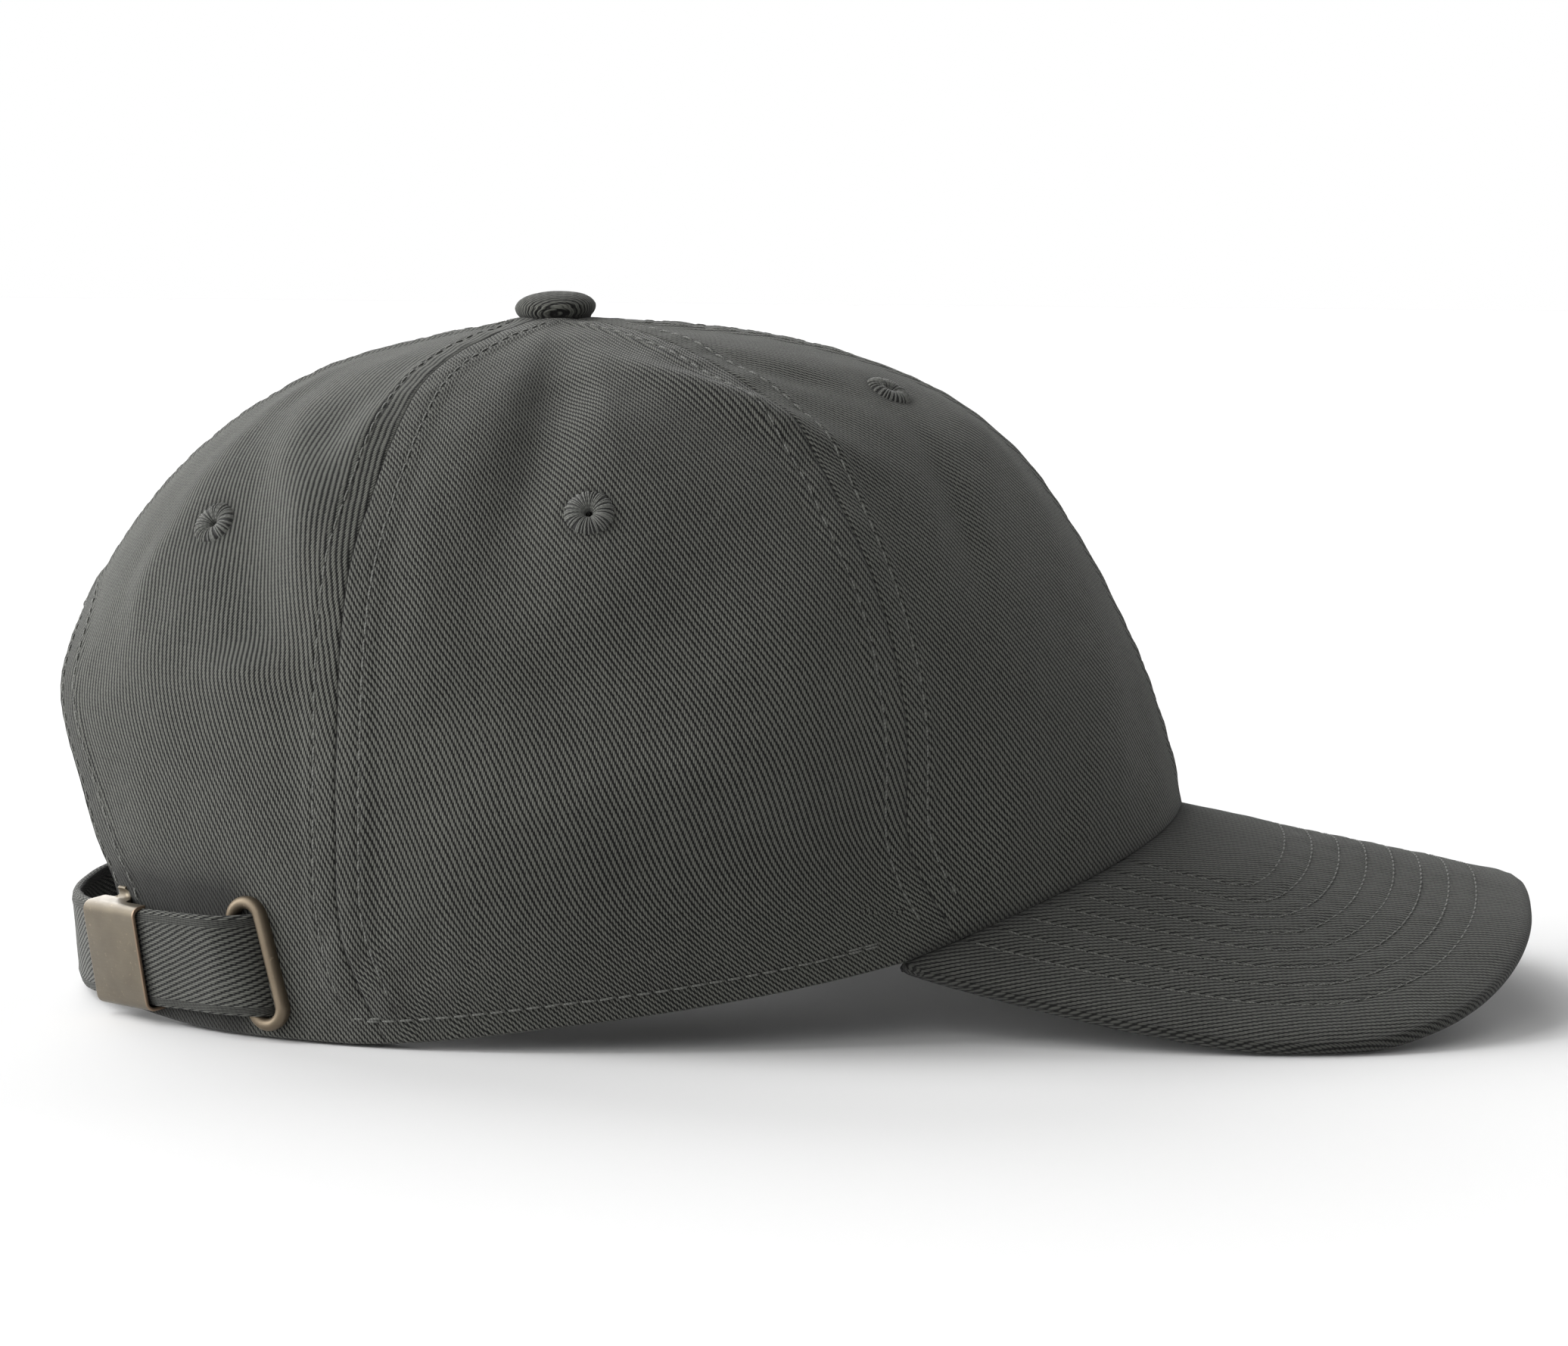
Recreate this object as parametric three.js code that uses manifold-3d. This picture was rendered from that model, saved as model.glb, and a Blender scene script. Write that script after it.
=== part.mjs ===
import * as THREE from 'three';
import { mergeVertices } from 'three/addons/utils/BufferGeometryUtils.js';
import Module from 'manifold-3d';

// A soft six-panel cap with a curved peak and a buckled strap at the back, in millimetres.
// +X is the front, +Z is up and +Y is the wearer's left. It rests on its hem and its peak's edges, at z = 0.
// An azimuth is in degrees about the crown: 0 is the front, 90 the wearer's right and 180 the back.
// A drop runs from 0 at the top of the crown to 1 at its hem.

const wasm = await Module();
wasm.setup();

// Driving dimensions
const WALL = 1.2;
const SEAM_GAP = 0.3;
const FIT_GAP = 0.4;
const CROWN_X = -45.4;
const CROWN_TOP = 120.6;
const TIP_DROP = 0.02;
const PANEL_CELLS = { across: 12, down: 17 };

// The crown, a row for each level from the top down. Lift is the share of the height above the hem, front
// and back are how far the middle line reaches along X, side is half the width, and the seams are azimuths.
const LEVELS = [
  { lift: 1.0, front: CROWN_X, back: CROWN_X, side: 0, frontSeam: 58, backSeam: 123 },
  { lift: 0.985, front: -18.5, back: -59.5, side: 17.5, frontSeam: 58, backSeam: 123 },
  { lift: 0.96, front: -2.2, back: -72.9, side: 29.5, frontSeam: 57, backSeam: 122 },
  { lift: 0.92, front: 10.7, back: -87.3, side: 41.5, frontSeam: 55.3, backSeam: 119.5 },
  { lift: 0.86, front: 22.9, back: -100.1, side: 52.5, frontSeam: 53.8, backSeam: 116.6 },
  { lift: 0.78, front: 33.7, back: -111.8, side: 62.0, frontSeam: 53.4, backSeam: 114.7 },
  { lift: 0.68, front: 42.4, back: -121.8, side: 69.5, frontSeam: 53.4, backSeam: 113.6 },
  { lift: 0.56, front: 49.6, back: -130.1, side: 75.5, frontSeam: 52.8, backSeam: 112.4 },
  { lift: 0.44, front: 55.2, back: -137.3, side: 79.0, frontSeam: 52.6, backSeam: 111 },
  { lift: 0.3, front: 61.2, back: -136.3, side: 80.8, frontSeam: 53.5, backSeam: 111.3 },
  { lift: 0.15, front: 65.9, back: -133.7, side: 80.8, frontSeam: 53.9, backSeam: 111.4 },
  { lift: 0.0, front: 68.8, back: -131.1, side: 79.0, frontSeam: 51.2, backSeam: 106.5 },
];

// Folds and dents in the cloth, a row for each: where its middle is, how far it reaches round the crown in
// degrees and down it in drop, how many degrees it leans for each unit of drop, and how far it stands out.
const FOLDS = [
  { azimuth: 136, drop: 0.43, wide: 6, long: 0.12, lean: -140, rise: 2.2 },
  { azimuth: 123, drop: 0.6, wide: 5, long: 0.1, lean: -20, rise: 2.2 },
  { azimuth: 128, drop: 0.69, wide: 9, long: 0.035, lean: -40, rise: 1.0 },
  { azimuth: 119, drop: 0.52, wide: 4, long: 0.16, lean: -38, rise: -1.1 },
  { azimuth: 137, drop: 0.55, wide: 9, long: 0.11, lean: -66, rise: -1.7 },
  { azimuth: 94.5, drop: 0.4, wide: 5.5, long: 0.2, lean: 4, rise: -2.6 },
  { azimuth: 88, drop: 0.645, wide: 9, long: 0.055, lean: 0, rise: -1.6 },
  { azimuth: 74, drop: 0.72, wide: 14, long: 0.1, lean: -60, rise: 2.0 },
  { azimuth: 62, drop: 0.85, wide: 17, long: 0.07, lean: 0, rise: -2.4 },
  { azimuth: 57, drop: 0.73, wide: 7, long: 0.13, lean: 0, rise: -1.5 },
  { azimuth: 39, drop: 0.6, wide: 4.5, long: 0.14, lean: 30, rise: 1.6 },
  { azimuth: 34, drop: 0.68, wide: 4.5, long: 0.1, lean: 20, rise: -1.2 },
  { azimuth: 46, drop: 0.25, wide: 9, long: 0.09, lean: -20, rise: 1.1 },
  { azimuth: 40, drop: 0.43, wide: 8, long: 0.06, lean: 0, rise: -1.3 },
  { azimuth: 24, drop: 0.88, wide: 5, long: 0.08, lean: 40, rise: 0.9 },
  { azimuth: 226, drop: 0.47, wide: 7, long: 0.16, lean: 90, rise: 1.8 },
  { azimuth: 217, drop: 0.58, wide: 9, long: 0.12, lean: 60, rise: -1.6 },
  { azimuth: 268, drop: 0.45, wide: 6, long: 0.18, lean: -6, rise: -2.2 },
  { azimuth: 286, drop: 0.74, wide: 14, long: 0.09, lean: 50, rise: 1.8 },
  { azimuth: 298, drop: 0.86, wide: 17, long: 0.07, lean: 0, rise: -2.0 },
  { azimuth: 322, drop: 0.57, wide: 5, long: 0.15, lean: -30, rise: 1.5 },
];

// The peak
const RIDGE = { x: 68.8, height: 33.3, slope: 0.206 };
const ARCH = { halfWidth: 65.8, fall: 31.0, power: 1.75, soft: 6, from: 14.5, spread: 0.0062 };
const PEAK = { tip: 131.7, widest: 75.5, halfWidth: 77, rearReach: 167.5, frontPower: 2.35, rearPower: 1.5 };
const PEAK_CORNER = 116.7;
const PEAK_THICKNESS = 3.0;
const PEAK_AZIMUTH = 56.5;
const PEAK_CELLS = { across: 30, out: 7 };
const HEM = { fade: 1.5, restFrom: 112, restTo: 128, cornerAt: 152, cornerRise: 1.5, flatFrom: 0.94 };

// The arched opening at the back, the strap across it and its hardware
const OPENING = { halfWidth: 44, rise: 68, power: 2.05 };
const SWEATBAND = { thickness: 1, foot: 0.6, height: 29, end: 143, slack: 4.2, slackFrom: 96, slackTo: 112 };
const SWEATBAND_CELLS = { around: 48, up: 2 };
const STRAP = { width: 16.7, thickness: 1.8 };
const STRAP_CELLS = 60;
const SLOT = { azimuth: 123, height: 12.5, lean: 14, straight: 15.8, opening: 5.4, wide: 9.4 };
const SLOT_RING = { proud: 0.9, barrel: 0.6, gap: 0.7, room: 0.5 };
const BUCKLE = { long: 17.2, tall: 18.5, sheet: 0.6, face: 4.1, lip: 2, corner: 1.4 };
const BUCKLE_PLACE = { azimuth: 144.8, height: 11.4, turn: 2, tilt: 9 };
const LUG = { long: 3, reach: 7.6, bar: 0.8, barOut: -1.9 };
const TAB = { reach: 13, thickness: 1.4, eye: 1.9, width: 13.5 };

// The strap's middle line, a row for each place from the wearer's left round the back to the slot: how far
// out of the hem's outline it lies, how high, and how many degrees its top leans out and its folds lean.
const STRAP_ROUTE = [
  { azimuth: 231, out: -2.0, height: 12.2, tilt: 4, lean: 0 },
  { azimuth: 221, out: -2.3, height: 12.0, tilt: 3, lean: 0 },
  { azimuth: 213, out: -2.5, height: 11.6, tilt: 2, lean: 0 },
  { azimuth: 204, out: -1.4, height: 10.9, tilt: 1, lean: 0 },
  { azimuth: 192, out: -0.7, height: 9.9, tilt: 1, lean: 0 },
  { azimuth: 178, out: -0.5, height: 9.4, tilt: 2, lean: 0 },
  { azimuth: 165, out: 0.5, height: 9.8, tilt: 6, lean: 0 },
  { azimuth: 154, out: 2.0, height: 10.5, tilt: 9, lean: 0 },
  { azimuth: 144, out: 2.8, height: 11.0, tilt: 9, lean: 0 },
  { azimuth: 134, out: 3.3, height: 11.6, tilt: 9, lean: 5 },
  { azimuth: 127.4, out: 4.9, height: 12.0, tilt: 7, lean: 14 },
  { azimuth: 125.4, out: 4.7, height: 12.1, tilt: 6, lean: 14 },
  { azimuth: 124.2, out: 2.9, height: 12.2, tilt: 6, lean: 14 },
  { azimuth: 123.1, out: 0.6, height: 12.3, tilt: 6, lean: 14 },
  { azimuth: 122.0, out: -1.6, height: 12.3, tilt: 6, lean: 14 },
  { azimuth: 120.2, out: -2.7, height: 12.4, tilt: 6, lean: 14 },
  { azimuth: 116.2, out: -2.7, height: 12.5, tilt: 6, lean: 14 },
];

const ROUND_STEPS = 5;
const EYELET = { hole: 1.3, outer: 4.25, proud: 0.5, panelHole: 2.5, gap: 0.5 };
const EYELET_PLACES = [
  { name: 'front', azimuth: 23.7, drop: 0.343 },
  { name: 'side', azimuth: 84.1, drop: 0.498 },
  { name: 'back', azimuth: 141.6, drop: 0.519 },
];
const BUTTON = { radius: 7.35, top: 125.3, tilt: 3, rim: 1.1, shank: 1.5 };
const BUTTON_DISC = { radius: 5.5, thickness: 1, inset: 0.9, edge: 0.5 };

const cloth = new THREE.MeshStandardMaterial({ color: 0x52534e, roughness: 0.92, metalness: 0 });
const thread = new THREE.MeshStandardMaterial({ color: 0x5c5d57, roughness: 0.8, metalness: 0 });
const brass = new THREE.MeshStandardMaterial({ color: 0x7d7258, roughness: 0.42, metalness: 1 });

const { cos, sin, abs, min, max, sign, PI } = Math;
const rad = THREE.MathUtils.degToRad;
const clamp01 = (value) => THREE.MathUtils.clamp(value, 0, 1);
const smooth = (value) => THREE.MathUtils.smoothstep(value, 0, 1);
const fromFront = (azimuth) => (azimuth > 180 ? 360 - azimuth : abs(azimuth));

// The four-point curve through b and c.
function between(a, b, c, d, u) {
  return b + 0.5 * u * (c - a + u * (2 * a - 5 * b + 4 * c - d + u * (3 * (b - c) + d - a)));
}

// A row of a table by its number. Before the first row the crown comes down on its other side.
function tableRow(table, number) {
  const last = table.length - 1;
  if (number < 0 && 'side' in table[0]) {
    const row = table[-number];
    return { ...row, front: row.back, back: row.front, side: -row.side };
  }
  return table[THREE.MathUtils.clamp(number, 0, last)];
}

// The values of a table at a place from 0 at its first row to 1 at its last.
function tableAt(table, place) {
  const steps = clamp01(place) * (table.length - 1);
  const first = min(Math.floor(steps), table.length - 2);
  const rows = [-1, 0, 1, 2].map((k) => tableRow(table, first + k));
  const values = {};
  for (const key of Object.keys(table[0]))
    values[key] = between(...rows.map((row) => row[key]), steps - first);
  return values;
}

// The height of the peak's upper face over a place in plan.
function peakHeight(x, y) {
  const spread = 1 + ARCH.spread * max(0, x - ARCH.from);
  const across = (y * y + ARCH.soft ** 2) ** (ARCH.power / 2) - ARCH.soft ** ARCH.power;
  const fall = (ARCH.fall / ARCH.halfWidth ** ARCH.power) * across;
  return RIDGE.height + (RIDGE.x - x) * RIDGE.slope - fall / spread;
}

// The outline of one level in plan, out of the crown's surface by a distance.
function outline(level, azimuth, out = 0) {
  const angle = rad(azimuth);
  const reach = cos(angle) > 0 ? level.front - CROWN_X : CROWN_X - level.back;
  const normal = new THREE.Vector2(level.side * cos(angle), -reach * sin(angle)).normalize();
  return new THREE.Vector2(
    CROWN_X + reach * cos(angle) + out * normal.x,
    -level.side * sin(angle) + out * normal.y,
  );
}

const HEM_LEVEL = LEVELS.at(-1);

// The hem follows the peak at the front, comes down to z = 0 at the sides and lifts a little at the corners.
function hemHeight(azimuth) {
  const angle = fromFront(azimuth);
  const onPeak = min(angle, PEAK_AZIMUTH);
  const place = outline(HEM_LEVEL, onPeak);
  const height = peakHeight(place.x, place.y);
  if (angle <= PEAK_AZIMUTH) return height;
  if (angle <= HEM.restFrom)
    return height * (1 - (angle - PEAK_AZIMUTH) / (HEM.restFrom - PEAK_AZIMUTH)) ** HEM.fade;
  return HEM.cornerRise * smooth((angle - HEM.restTo) / (HEM.cornerAt - HEM.restTo));
}

function smoothCrown(azimuth, drop) {
  const level = tableAt(LEVELS, drop);
  const place = outline(level, azimuth);
  const hem = hemHeight(azimuth);
  return new THREE.Vector3(place.x, place.y, hem + level.lift * (CROWN_TOP - hem));
}

function crownNormal(azimuth, drop) {
  const step = 0.5;
  const low = max(drop, TIP_DROP);
  const around = smoothCrown(azimuth + step, low).sub(smoothCrown(azimuth - step, low));
  const down = smoothCrown(azimuth, min(low + 0.01, 1)).sub(smoothCrown(azimuth, low - 0.01));
  return around.cross(down).normalize();
}

function foldRise(azimuth, drop) {
  let rise = 0;
  for (const fold of FOLDS) {
    const along = (drop - fold.drop) / fold.long;
    const across = (azimuth - fold.azimuth - fold.lean * (drop - fold.drop)) / fold.wide;
    rise += fold.rise * Math.exp(-across * across - along * along);
  }
  return rise;
}

// A point of the crown, under its outer face by a depth. At the hem the depth is level, so its edge is flat.
function crownPoint(azimuth, drop, depth = 0) {
  const point = smoothCrown(azimuth, drop);
  const normal = crownNormal(azimuth, drop);
  const level = clamp01((drop - HEM.flatFrom) / (1 - HEM.flatFrom));
  normal.z *= 1 - level;
  normal.normalize();
  const standing = foldRise(azimuth, drop) * (1 - level);
  return point.addScaledVector(normal, standing - depth);
}

// A drop at which the crown is a height above its hem.
function dropAtHeight(azimuth, height) {
  const lift = height / (CROWN_TOP - hemHeight(azimuth));
  let [low, high] = [0.5, 1];
  for (let k = 0; k < 24; k++) {
    const middle = (low + high) / 2;
    const above = tableAt(LEVELS, middle).lift > lift;
    [low, high] = above ? [middle, high] : [low, middle];
  }
  return (low + high) / 2;
}

// A closed mesh from points and corner numbers, turned so that its faces point out.
function closedGeometry(points, corners) {
  let volume = 0;
  for (let k = 0; k < corners.length; k += 3) {
    const [a, b, c] = corners.slice(k, k + 3).map((corner) => points[corner]);
    volume += a.dot(b.clone().cross(c));
  }
  const turned = volume < 0 ? corners.slice().reverse() : corners;
  const geometry = new THREE.BufferGeometry().setFromPoints(points);
  geometry.setIndex(turned);
  return geometry;
}

// The solid between two grids of points.
function wallBetween(outer, inner) {
  const [rows, columns] = [outer.length, outer[0].length];
  const corners = [];
  const quad = (a, b, c, d) => corners.push(a, b, c, a, c, d);
  const at = (i, j, layer) => (layer * rows + i) * columns + j;
  for (let i = 0; i < rows - 1; i++)
    for (let j = 0; j < columns - 1; j++) {
      quad(at(i, j, 0), at(i, j + 1, 0), at(i + 1, j + 1, 0), at(i + 1, j, 0));
      quad(at(i, j, 1), at(i + 1, j, 1), at(i + 1, j + 1, 1), at(i, j + 1, 1));
    }
  const border = [];
  for (let j = 0; j < columns - 1; j++) border.push([0, j]);
  for (let i = 0; i < rows - 1; i++) border.push([i, columns - 1]);
  for (let j = columns - 1; j > 0; j--) border.push([rows - 1, j]);
  for (let i = rows - 1; i > 0; i--) border.push([i, 0]);
  border.forEach(([i, j], k) => {
    const [ni, nj] = border[(k + 1) % border.length];
    quad(at(ni, nj, 0), at(i, j, 0), at(i, j, 1), at(ni, nj, 1));
  });
  return closedGeometry([...outer.flat(), ...inner.flat()], corners);
}

// A ring with straight sides, or a round one, from a closed section of radii and heights.
function ringGeometry(section, straight, endSteps) {
  const points = [];
  const stations = [];
  const steps = straight > 0 ? endSteps + 1 : endSteps;
  for (const end of [1, -1])
    for (let k = 0; k < steps; k++) {
      const angle = (end > 0 ? 0 : PI) + (PI * k) / endSteps;
      stations.push([angle, (end * straight) / 2]);
    }
  for (const [angle, shift] of stations)
    for (const [radius, height] of section)
      points.push(new THREE.Vector3(-radius * cos(angle), shift + radius * sin(angle), height));
  const corners = [];
  const count = section.length;
  for (let i = 0; i < stations.length; i++)
    for (let j = 0; j < count; j++) {
      const [ni, nj] = [(i + 1) % stations.length, (j + 1) % count];
      const [a, b, c, d] = [i * count + j, i * count + nj, ni * count + nj, ni * count + j];
      corners.push(a, b, c, a, c, d);
    }
  return closedGeometry(points, corners);
}

function solidOf(geometry) {
  const bare = geometry.clone();
  bare.deleteAttribute('normal');
  bare.deleteAttribute('uv');
  const merged = mergeVertices(bare, 1e-4);
  const mesh = new wasm.Mesh({
    numProp: 3,
    vertProperties: new Float32Array(merged.attributes.position.array),
    triVerts: new Uint32Array(merged.index.array),
  });
  return new wasm.Manifold(mesh);
}

function geometryOf(solid) {
  const mesh = solid.getMesh();
  const geometry = new THREE.BufferGeometry();
  geometry.setAttribute('position', new THREE.BufferAttribute(mesh.vertProperties, 3));
  geometry.setIndex(new THREE.BufferAttribute(mesh.triVerts, 1));
  return geometry;
}

function cut(geometry, cutters) {
  const rest = cutters.reduce((solid, cutter) => solid.subtract(solidOf(cutter)), solidOf(geometry));
  return geometryOf(rest);
}

function joined(geometries) {
  const [first, ...others] = geometries.map(solidOf);
  return geometryOf(others.reduce((solid, other) => solid.add(other), first));
}

// A frame on the crown: on the wearer's right X runs forward round it, Y up it and Z out of it.
function crownFrame(azimuth, drop, turn = 0) {
  const forward = crownPoint(azimuth - 2, drop).sub(crownPoint(azimuth + 2, drop)).normalize();
  const rise = crownPoint(azimuth, drop - 0.02).sub(crownPoint(azimuth, drop + 0.02));
  const out = forward.clone().cross(rise).normalize();
  const frame = new THREE.Matrix4().makeBasis(forward, out.clone().cross(forward), out);
  frame.multiply(new THREE.Matrix4().makeRotationZ(rad(turn)));
  return frame.setPosition(crownPoint(azimuth, drop));
}

const hat = new THREE.Group();

function addPiece(name, geometry, material, frame = new THREE.Matrix4()) {
  const shaded = geometry.index ? geometry.toNonIndexed() : geometry;
  shaded.computeVertexNormals();
  const mesh = new THREE.Mesh(shaded, material);
  mesh.name = name;
  mesh.applyMatrix4(frame);
  hat.add(mesh);
  return mesh;
}

// One panel of the crown, between two azimuths at every drop.
function panelGeometry(firstAzimuth, lastAzimuth) {
  const { across, down } = PANEL_CELLS;
  const faces = [0, WALL].map((depth) => {
    const grid = [];
    for (let i = 0; i <= down; i++) {
      const drop = TIP_DROP + (1 - TIP_DROP) * (i / down);
      const level = tableAt(LEVELS, drop);
      const [first, last] = [firstAzimuth(level), lastAzimuth(level)];
      const width = smoothCrown(first, drop).distanceTo(smoothCrown(last, drop));
      const inset = ((last - first) * SEAM_GAP) / 2 / max(width, 2);
      const row = [];
      for (let j = 0; j <= across; j++) {
        const azimuth = THREE.MathUtils.lerp(first + inset, last - inset, j / across);
        row.push(crownPoint(azimuth, drop, depth));
      }
      grid.push(row);
    }
    return grid;
  });
  return wallBetween(...faces);
}

// The cutter of the arched opening, straight through the back.
function openingCutter() {
  const { halfWidth, rise, power } = OPENING;
  const below = -20;
  const steps = 20;
  const arch = new THREE.Shape([new THREE.Vector2(-halfWidth, below), new THREE.Vector2(halfWidth, below)]);
  for (let k = 0; k <= steps; k++) {
    const angle = (PI * k) / steps;
    const across = sign(cos(angle)) * abs(cos(angle)) ** (2 / power);
    arch.lineTo(halfWidth * across, rise * sin(angle) ** (2 / power));
  }
  const rearmost = -150;
  const cutter = new THREE.ExtrudeGeometry(arch, { depth: 60, bevelEnabled: false });
  const alongX = new THREE.Matrix4().makeBasis(
    new THREE.Vector3(0, 1, 0),
    new THREE.Vector3(0, 0, 1),
    new THREE.Vector3(1, 0, 0),
  );
  return cutter.applyMatrix4(alongX.setPosition(rearmost, 0, 0));
}

// A stadium-shaped or round cutter through the wall at a frame.
function holeCutter(radius, straight, frame) {
  const depth = 10 * WALL;
  const hole = new THREE.Shape();
  hole.absarc(0, straight / 2, radius, 0, PI, false);
  hole.absarc(0, -straight / 2, radius, PI, 2 * PI, false);
  const cutter = new THREE.ExtrudeGeometry(hole, { depth, bevelEnabled: false, curveSegments: 8 });
  return cutter.translate(0, 0, -depth / 2).applyMatrix4(frame);
}

// The section of a rivet-like ring that holds the wall's edge: a face outside, a barrel and a face inside.
function rivetSection(hole, outer, proud, barrel, gap) {
  const [lower, upper] = [-WALL - gap, gap];
  return [
    [hole, upper + proud * 0.55],
    [hole + (outer - hole) * 0.4, upper + proud],
    [outer - 0.3, upper + proud * 0.7],
    [outer, upper],
    [barrel, upper],
    [barrel, lower],
    [outer - 0.5, lower],
    [outer - 0.7, lower - proud * 0.6],
    [hole, lower - proud * 0.6],
  ];
}

function eyeletGeometry() {
  const { hole, outer, proud, panelHole, gap } = EYELET;
  return ringGeometry(rivetSection(hole, outer, proud, panelHole - FIT_GAP, gap), 0, ROUND_STEPS);
}

function slotFrame() {
  const drop = dropAtHeight(SLOT.azimuth, SLOT.height);
  return crownFrame(SLOT.azimuth, drop, SLOT.lean);
}

function slotCutter() {
  const radius = SLOT.opening / 2 + SLOT_RING.barrel + SLOT_RING.room;
  return holeCutter(radius, SLOT.straight, slotFrame());
}

function addPanels() {
  const mirrored = (edge) => (level) => 360 - edge(level);
  const middle = () => 0;
  const rear = () => 180;
  const spans = {
    front: [middle, (level) => level.frontSeam],
    side: [(level) => level.frontSeam, (level) => level.backSeam],
    back: [(level) => level.backSeam, rear],
  };
  for (const { name, azimuth, drop } of EYELET_PLACES)
    for (const hand of ['right', 'left']) {
      const [first, last] = spans[name];
      const edges = hand === 'right' ? [first, last] : [mirrored(last), mirrored(first)];
      const turned = hand === 'right' ? azimuth : 360 - azimuth;
      const eyelet = crownFrame(turned, drop);
      const cutters = [holeCutter(EYELET.panelHole, 0, eyelet)];
      if (name === 'back') cutters.push(openingCutter());
      if (name === 'back' && hand === 'right') cutters.push(slotCutter());
      addPiece(`panel_${name}_${hand}`, cut(panelGeometry(...edges), cutters), cloth);
      addPiece(`eyelet_${name}_${hand}`, eyeletGeometry(), thread, eyelet);
    }
}

// The peak's outer edge in plan, from 0 at its tip to 1 at the wearer's right corner, or -1 at the left.
function peakEdge(place) {
  const { tip, widest, halfWidth, rearReach, frontPower, rearPower } = PEAK;
  const angle = rad(abs(place) * PEAK_CORNER);
  const power = 2 / (cos(angle) > 0 ? frontPower : rearPower);
  const reach = cos(angle) > 0 ? tip - widest : rearReach;
  const across = sin(angle) ** power;
  return new THREE.Vector2(
    widest + sign(cos(angle)) * reach * abs(cos(angle)) ** power,
    -sign(place) * halfWidth * across,
  );
}

// A point of the peak's upper face, from -1 to 1 across and from 0 at the hem to 1 at the outer edge.
// Below 0 it is the border tucked under the hem.
function peakPoint(place, outward) {
  const azimuth = place * PEAK_AZIMUTH;
  if (outward < 0) {
    const tucked = outline(HEM_LEVEL, azimuth, -0.8 * WALL);
    return new THREE.Vector3(tucked.x, tucked.y, hemHeight(azimuth) - FIT_GAP);
  }
  const root = outline(HEM_LEVEL, azimuth, FIT_GAP);
  const plan = root.lerp(peakEdge(place), outward);
  return new THREE.Vector3(plan.x, plan.y, peakHeight(plan.x, plan.y) - FIT_GAP * (1 - outward) ** 2);
}

// The peak's lower face under a point of its upper one.
function peakUnder(point) {
  const step = 0.5;
  const slopeX = peakHeight(point.x + step, point.y) - peakHeight(point.x - step, point.y);
  const slopeY = peakHeight(point.x, point.y + step) - peakHeight(point.x, point.y - step);
  const down = new THREE.Vector3(slopeX, slopeY, -2 * step).normalize();
  const lower = point.clone().addScaledVector(down, PEAK_THICKNESS);
  lower.z = max(lower.z, 0);
  return lower;
}

function addPeak() {
  const { across, out } = PEAK_CELLS;
  const top = [];
  const under = [];
  for (let i = 0; i <= across; i++) {
    const place = (2 * i) / across - 1;
    const upper = [];
    for (let j = -1; j <= out; j++) upper.push(peakPoint(place, j / out));
    top.push(upper);
    under.push(upper.map(peakUnder));
  }
  addPiece('peak', wallBetween(top, under), cloth);
}

// The button: a covered dome on the crown, its shank through the six tips and a disc inside.
function addButton() {
  const { radius, top, rim, shank } = BUTTON;
  const { radius: disc, thickness, inset, edge } = BUTTON_DISC;
  const base = CROWN_TOP + FIT_GAP;
  const inside = CROWN_TOP - WALL - inset;
  const profile = [
    new THREE.Vector2(0, inside - thickness),
    new THREE.Vector2(disc - edge, inside - thickness),
    new THREE.Vector2(disc, inside),
    new THREE.Vector2(shank, inside),
    new THREE.Vector2(shank, base),
    new THREE.Vector2(radius - edge, base),
  ];
  const steps = 6;
  for (let k = 0; k <= steps; k++) {
    const angle = (PI / 2) * (k / steps);
    profile.push(new THREE.Vector2(radius * cos(angle), base + rim + (top - base - rim) * sin(angle)));
  }
  profile.at(-1).x = 0;
  const button = new THREE.LatheGeometry(profile, 16);
  const frame = new THREE.Matrix4().makeRotationX(PI / 2);
  frame.premultiply(new THREE.Matrix4().makeTranslation(0, 0, -CROWN_TOP));
  frame.premultiply(new THREE.Matrix4().makeRotationY(-rad(BUTTON.tilt)));
  frame.premultiply(new THREE.Matrix4().makeTranslation(CROWN_X, 0, CROWN_TOP));
  addPiece('top_button', button, cloth, frame);
}

// The band inside the hem. Towards the back it leaves room for the ends of the strap.
function addSweatband() {
  const { thickness, foot, height, end, slack, slackFrom, slackTo } = SWEATBAND;
  const { around, up } = SWEATBAND_CELLS;
  const faces = [0, thickness].map((layer) => {
    const grid = [];
    for (let i = 0; i <= around; i++) {
      const azimuth = end * ((2 * i) / around - 1);
      const angle = (azimuth + 360) % 360;
      const room = slack * smooth((abs(azimuth) - slackFrom) / (slackTo - slackFrom));
      const row = [];
      for (let j = 0; j <= up; j++) {
        const drop = dropAtHeight(angle, foot + (height * j) / up);
        row.push(crownPoint(angle, drop, WALL + FIT_GAP + room + layer));
      }
      grid.push(row);
    }
    return grid;
  });
  addPiece('sweatband', wallBetween(...faces), cloth);
}

// The strap's route at a place from 0 at its left end to 1 at its right end. Across it, its folds lean.
function strapFrame(place, across) {
  const row = tableAt(STRAP_ROUTE, place);
  const degree = rad(1) * HEM_LEVEL.side;
  const shift = (across * STRAP.width * Math.tan(rad(row.lean))) / degree;
  return { ...row, point: outline(HEM_LEVEL, row.azimuth + shift, row.out) };
}

function strapPoint(place, across, layer) {
  const step = 0.004;
  const middle = strapFrame(place, across);
  const before = strapFrame(clamp01(place - step), across);
  const after = strapFrame(clamp01(place + step), across);
  const along = after.point.clone().sub(before.point).normalize();
  const out = new THREE.Vector2(along.y, -along.x);
  const tilt = rad(middle.tilt);
  const height = across * STRAP.width;
  const outward = height * sin(tilt) + layer * STRAP.thickness;
  return new THREE.Vector3(
    middle.point.x + out.x * outward,
    middle.point.y + out.y * outward,
    middle.height + height * cos(tilt),
  );
}

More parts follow.
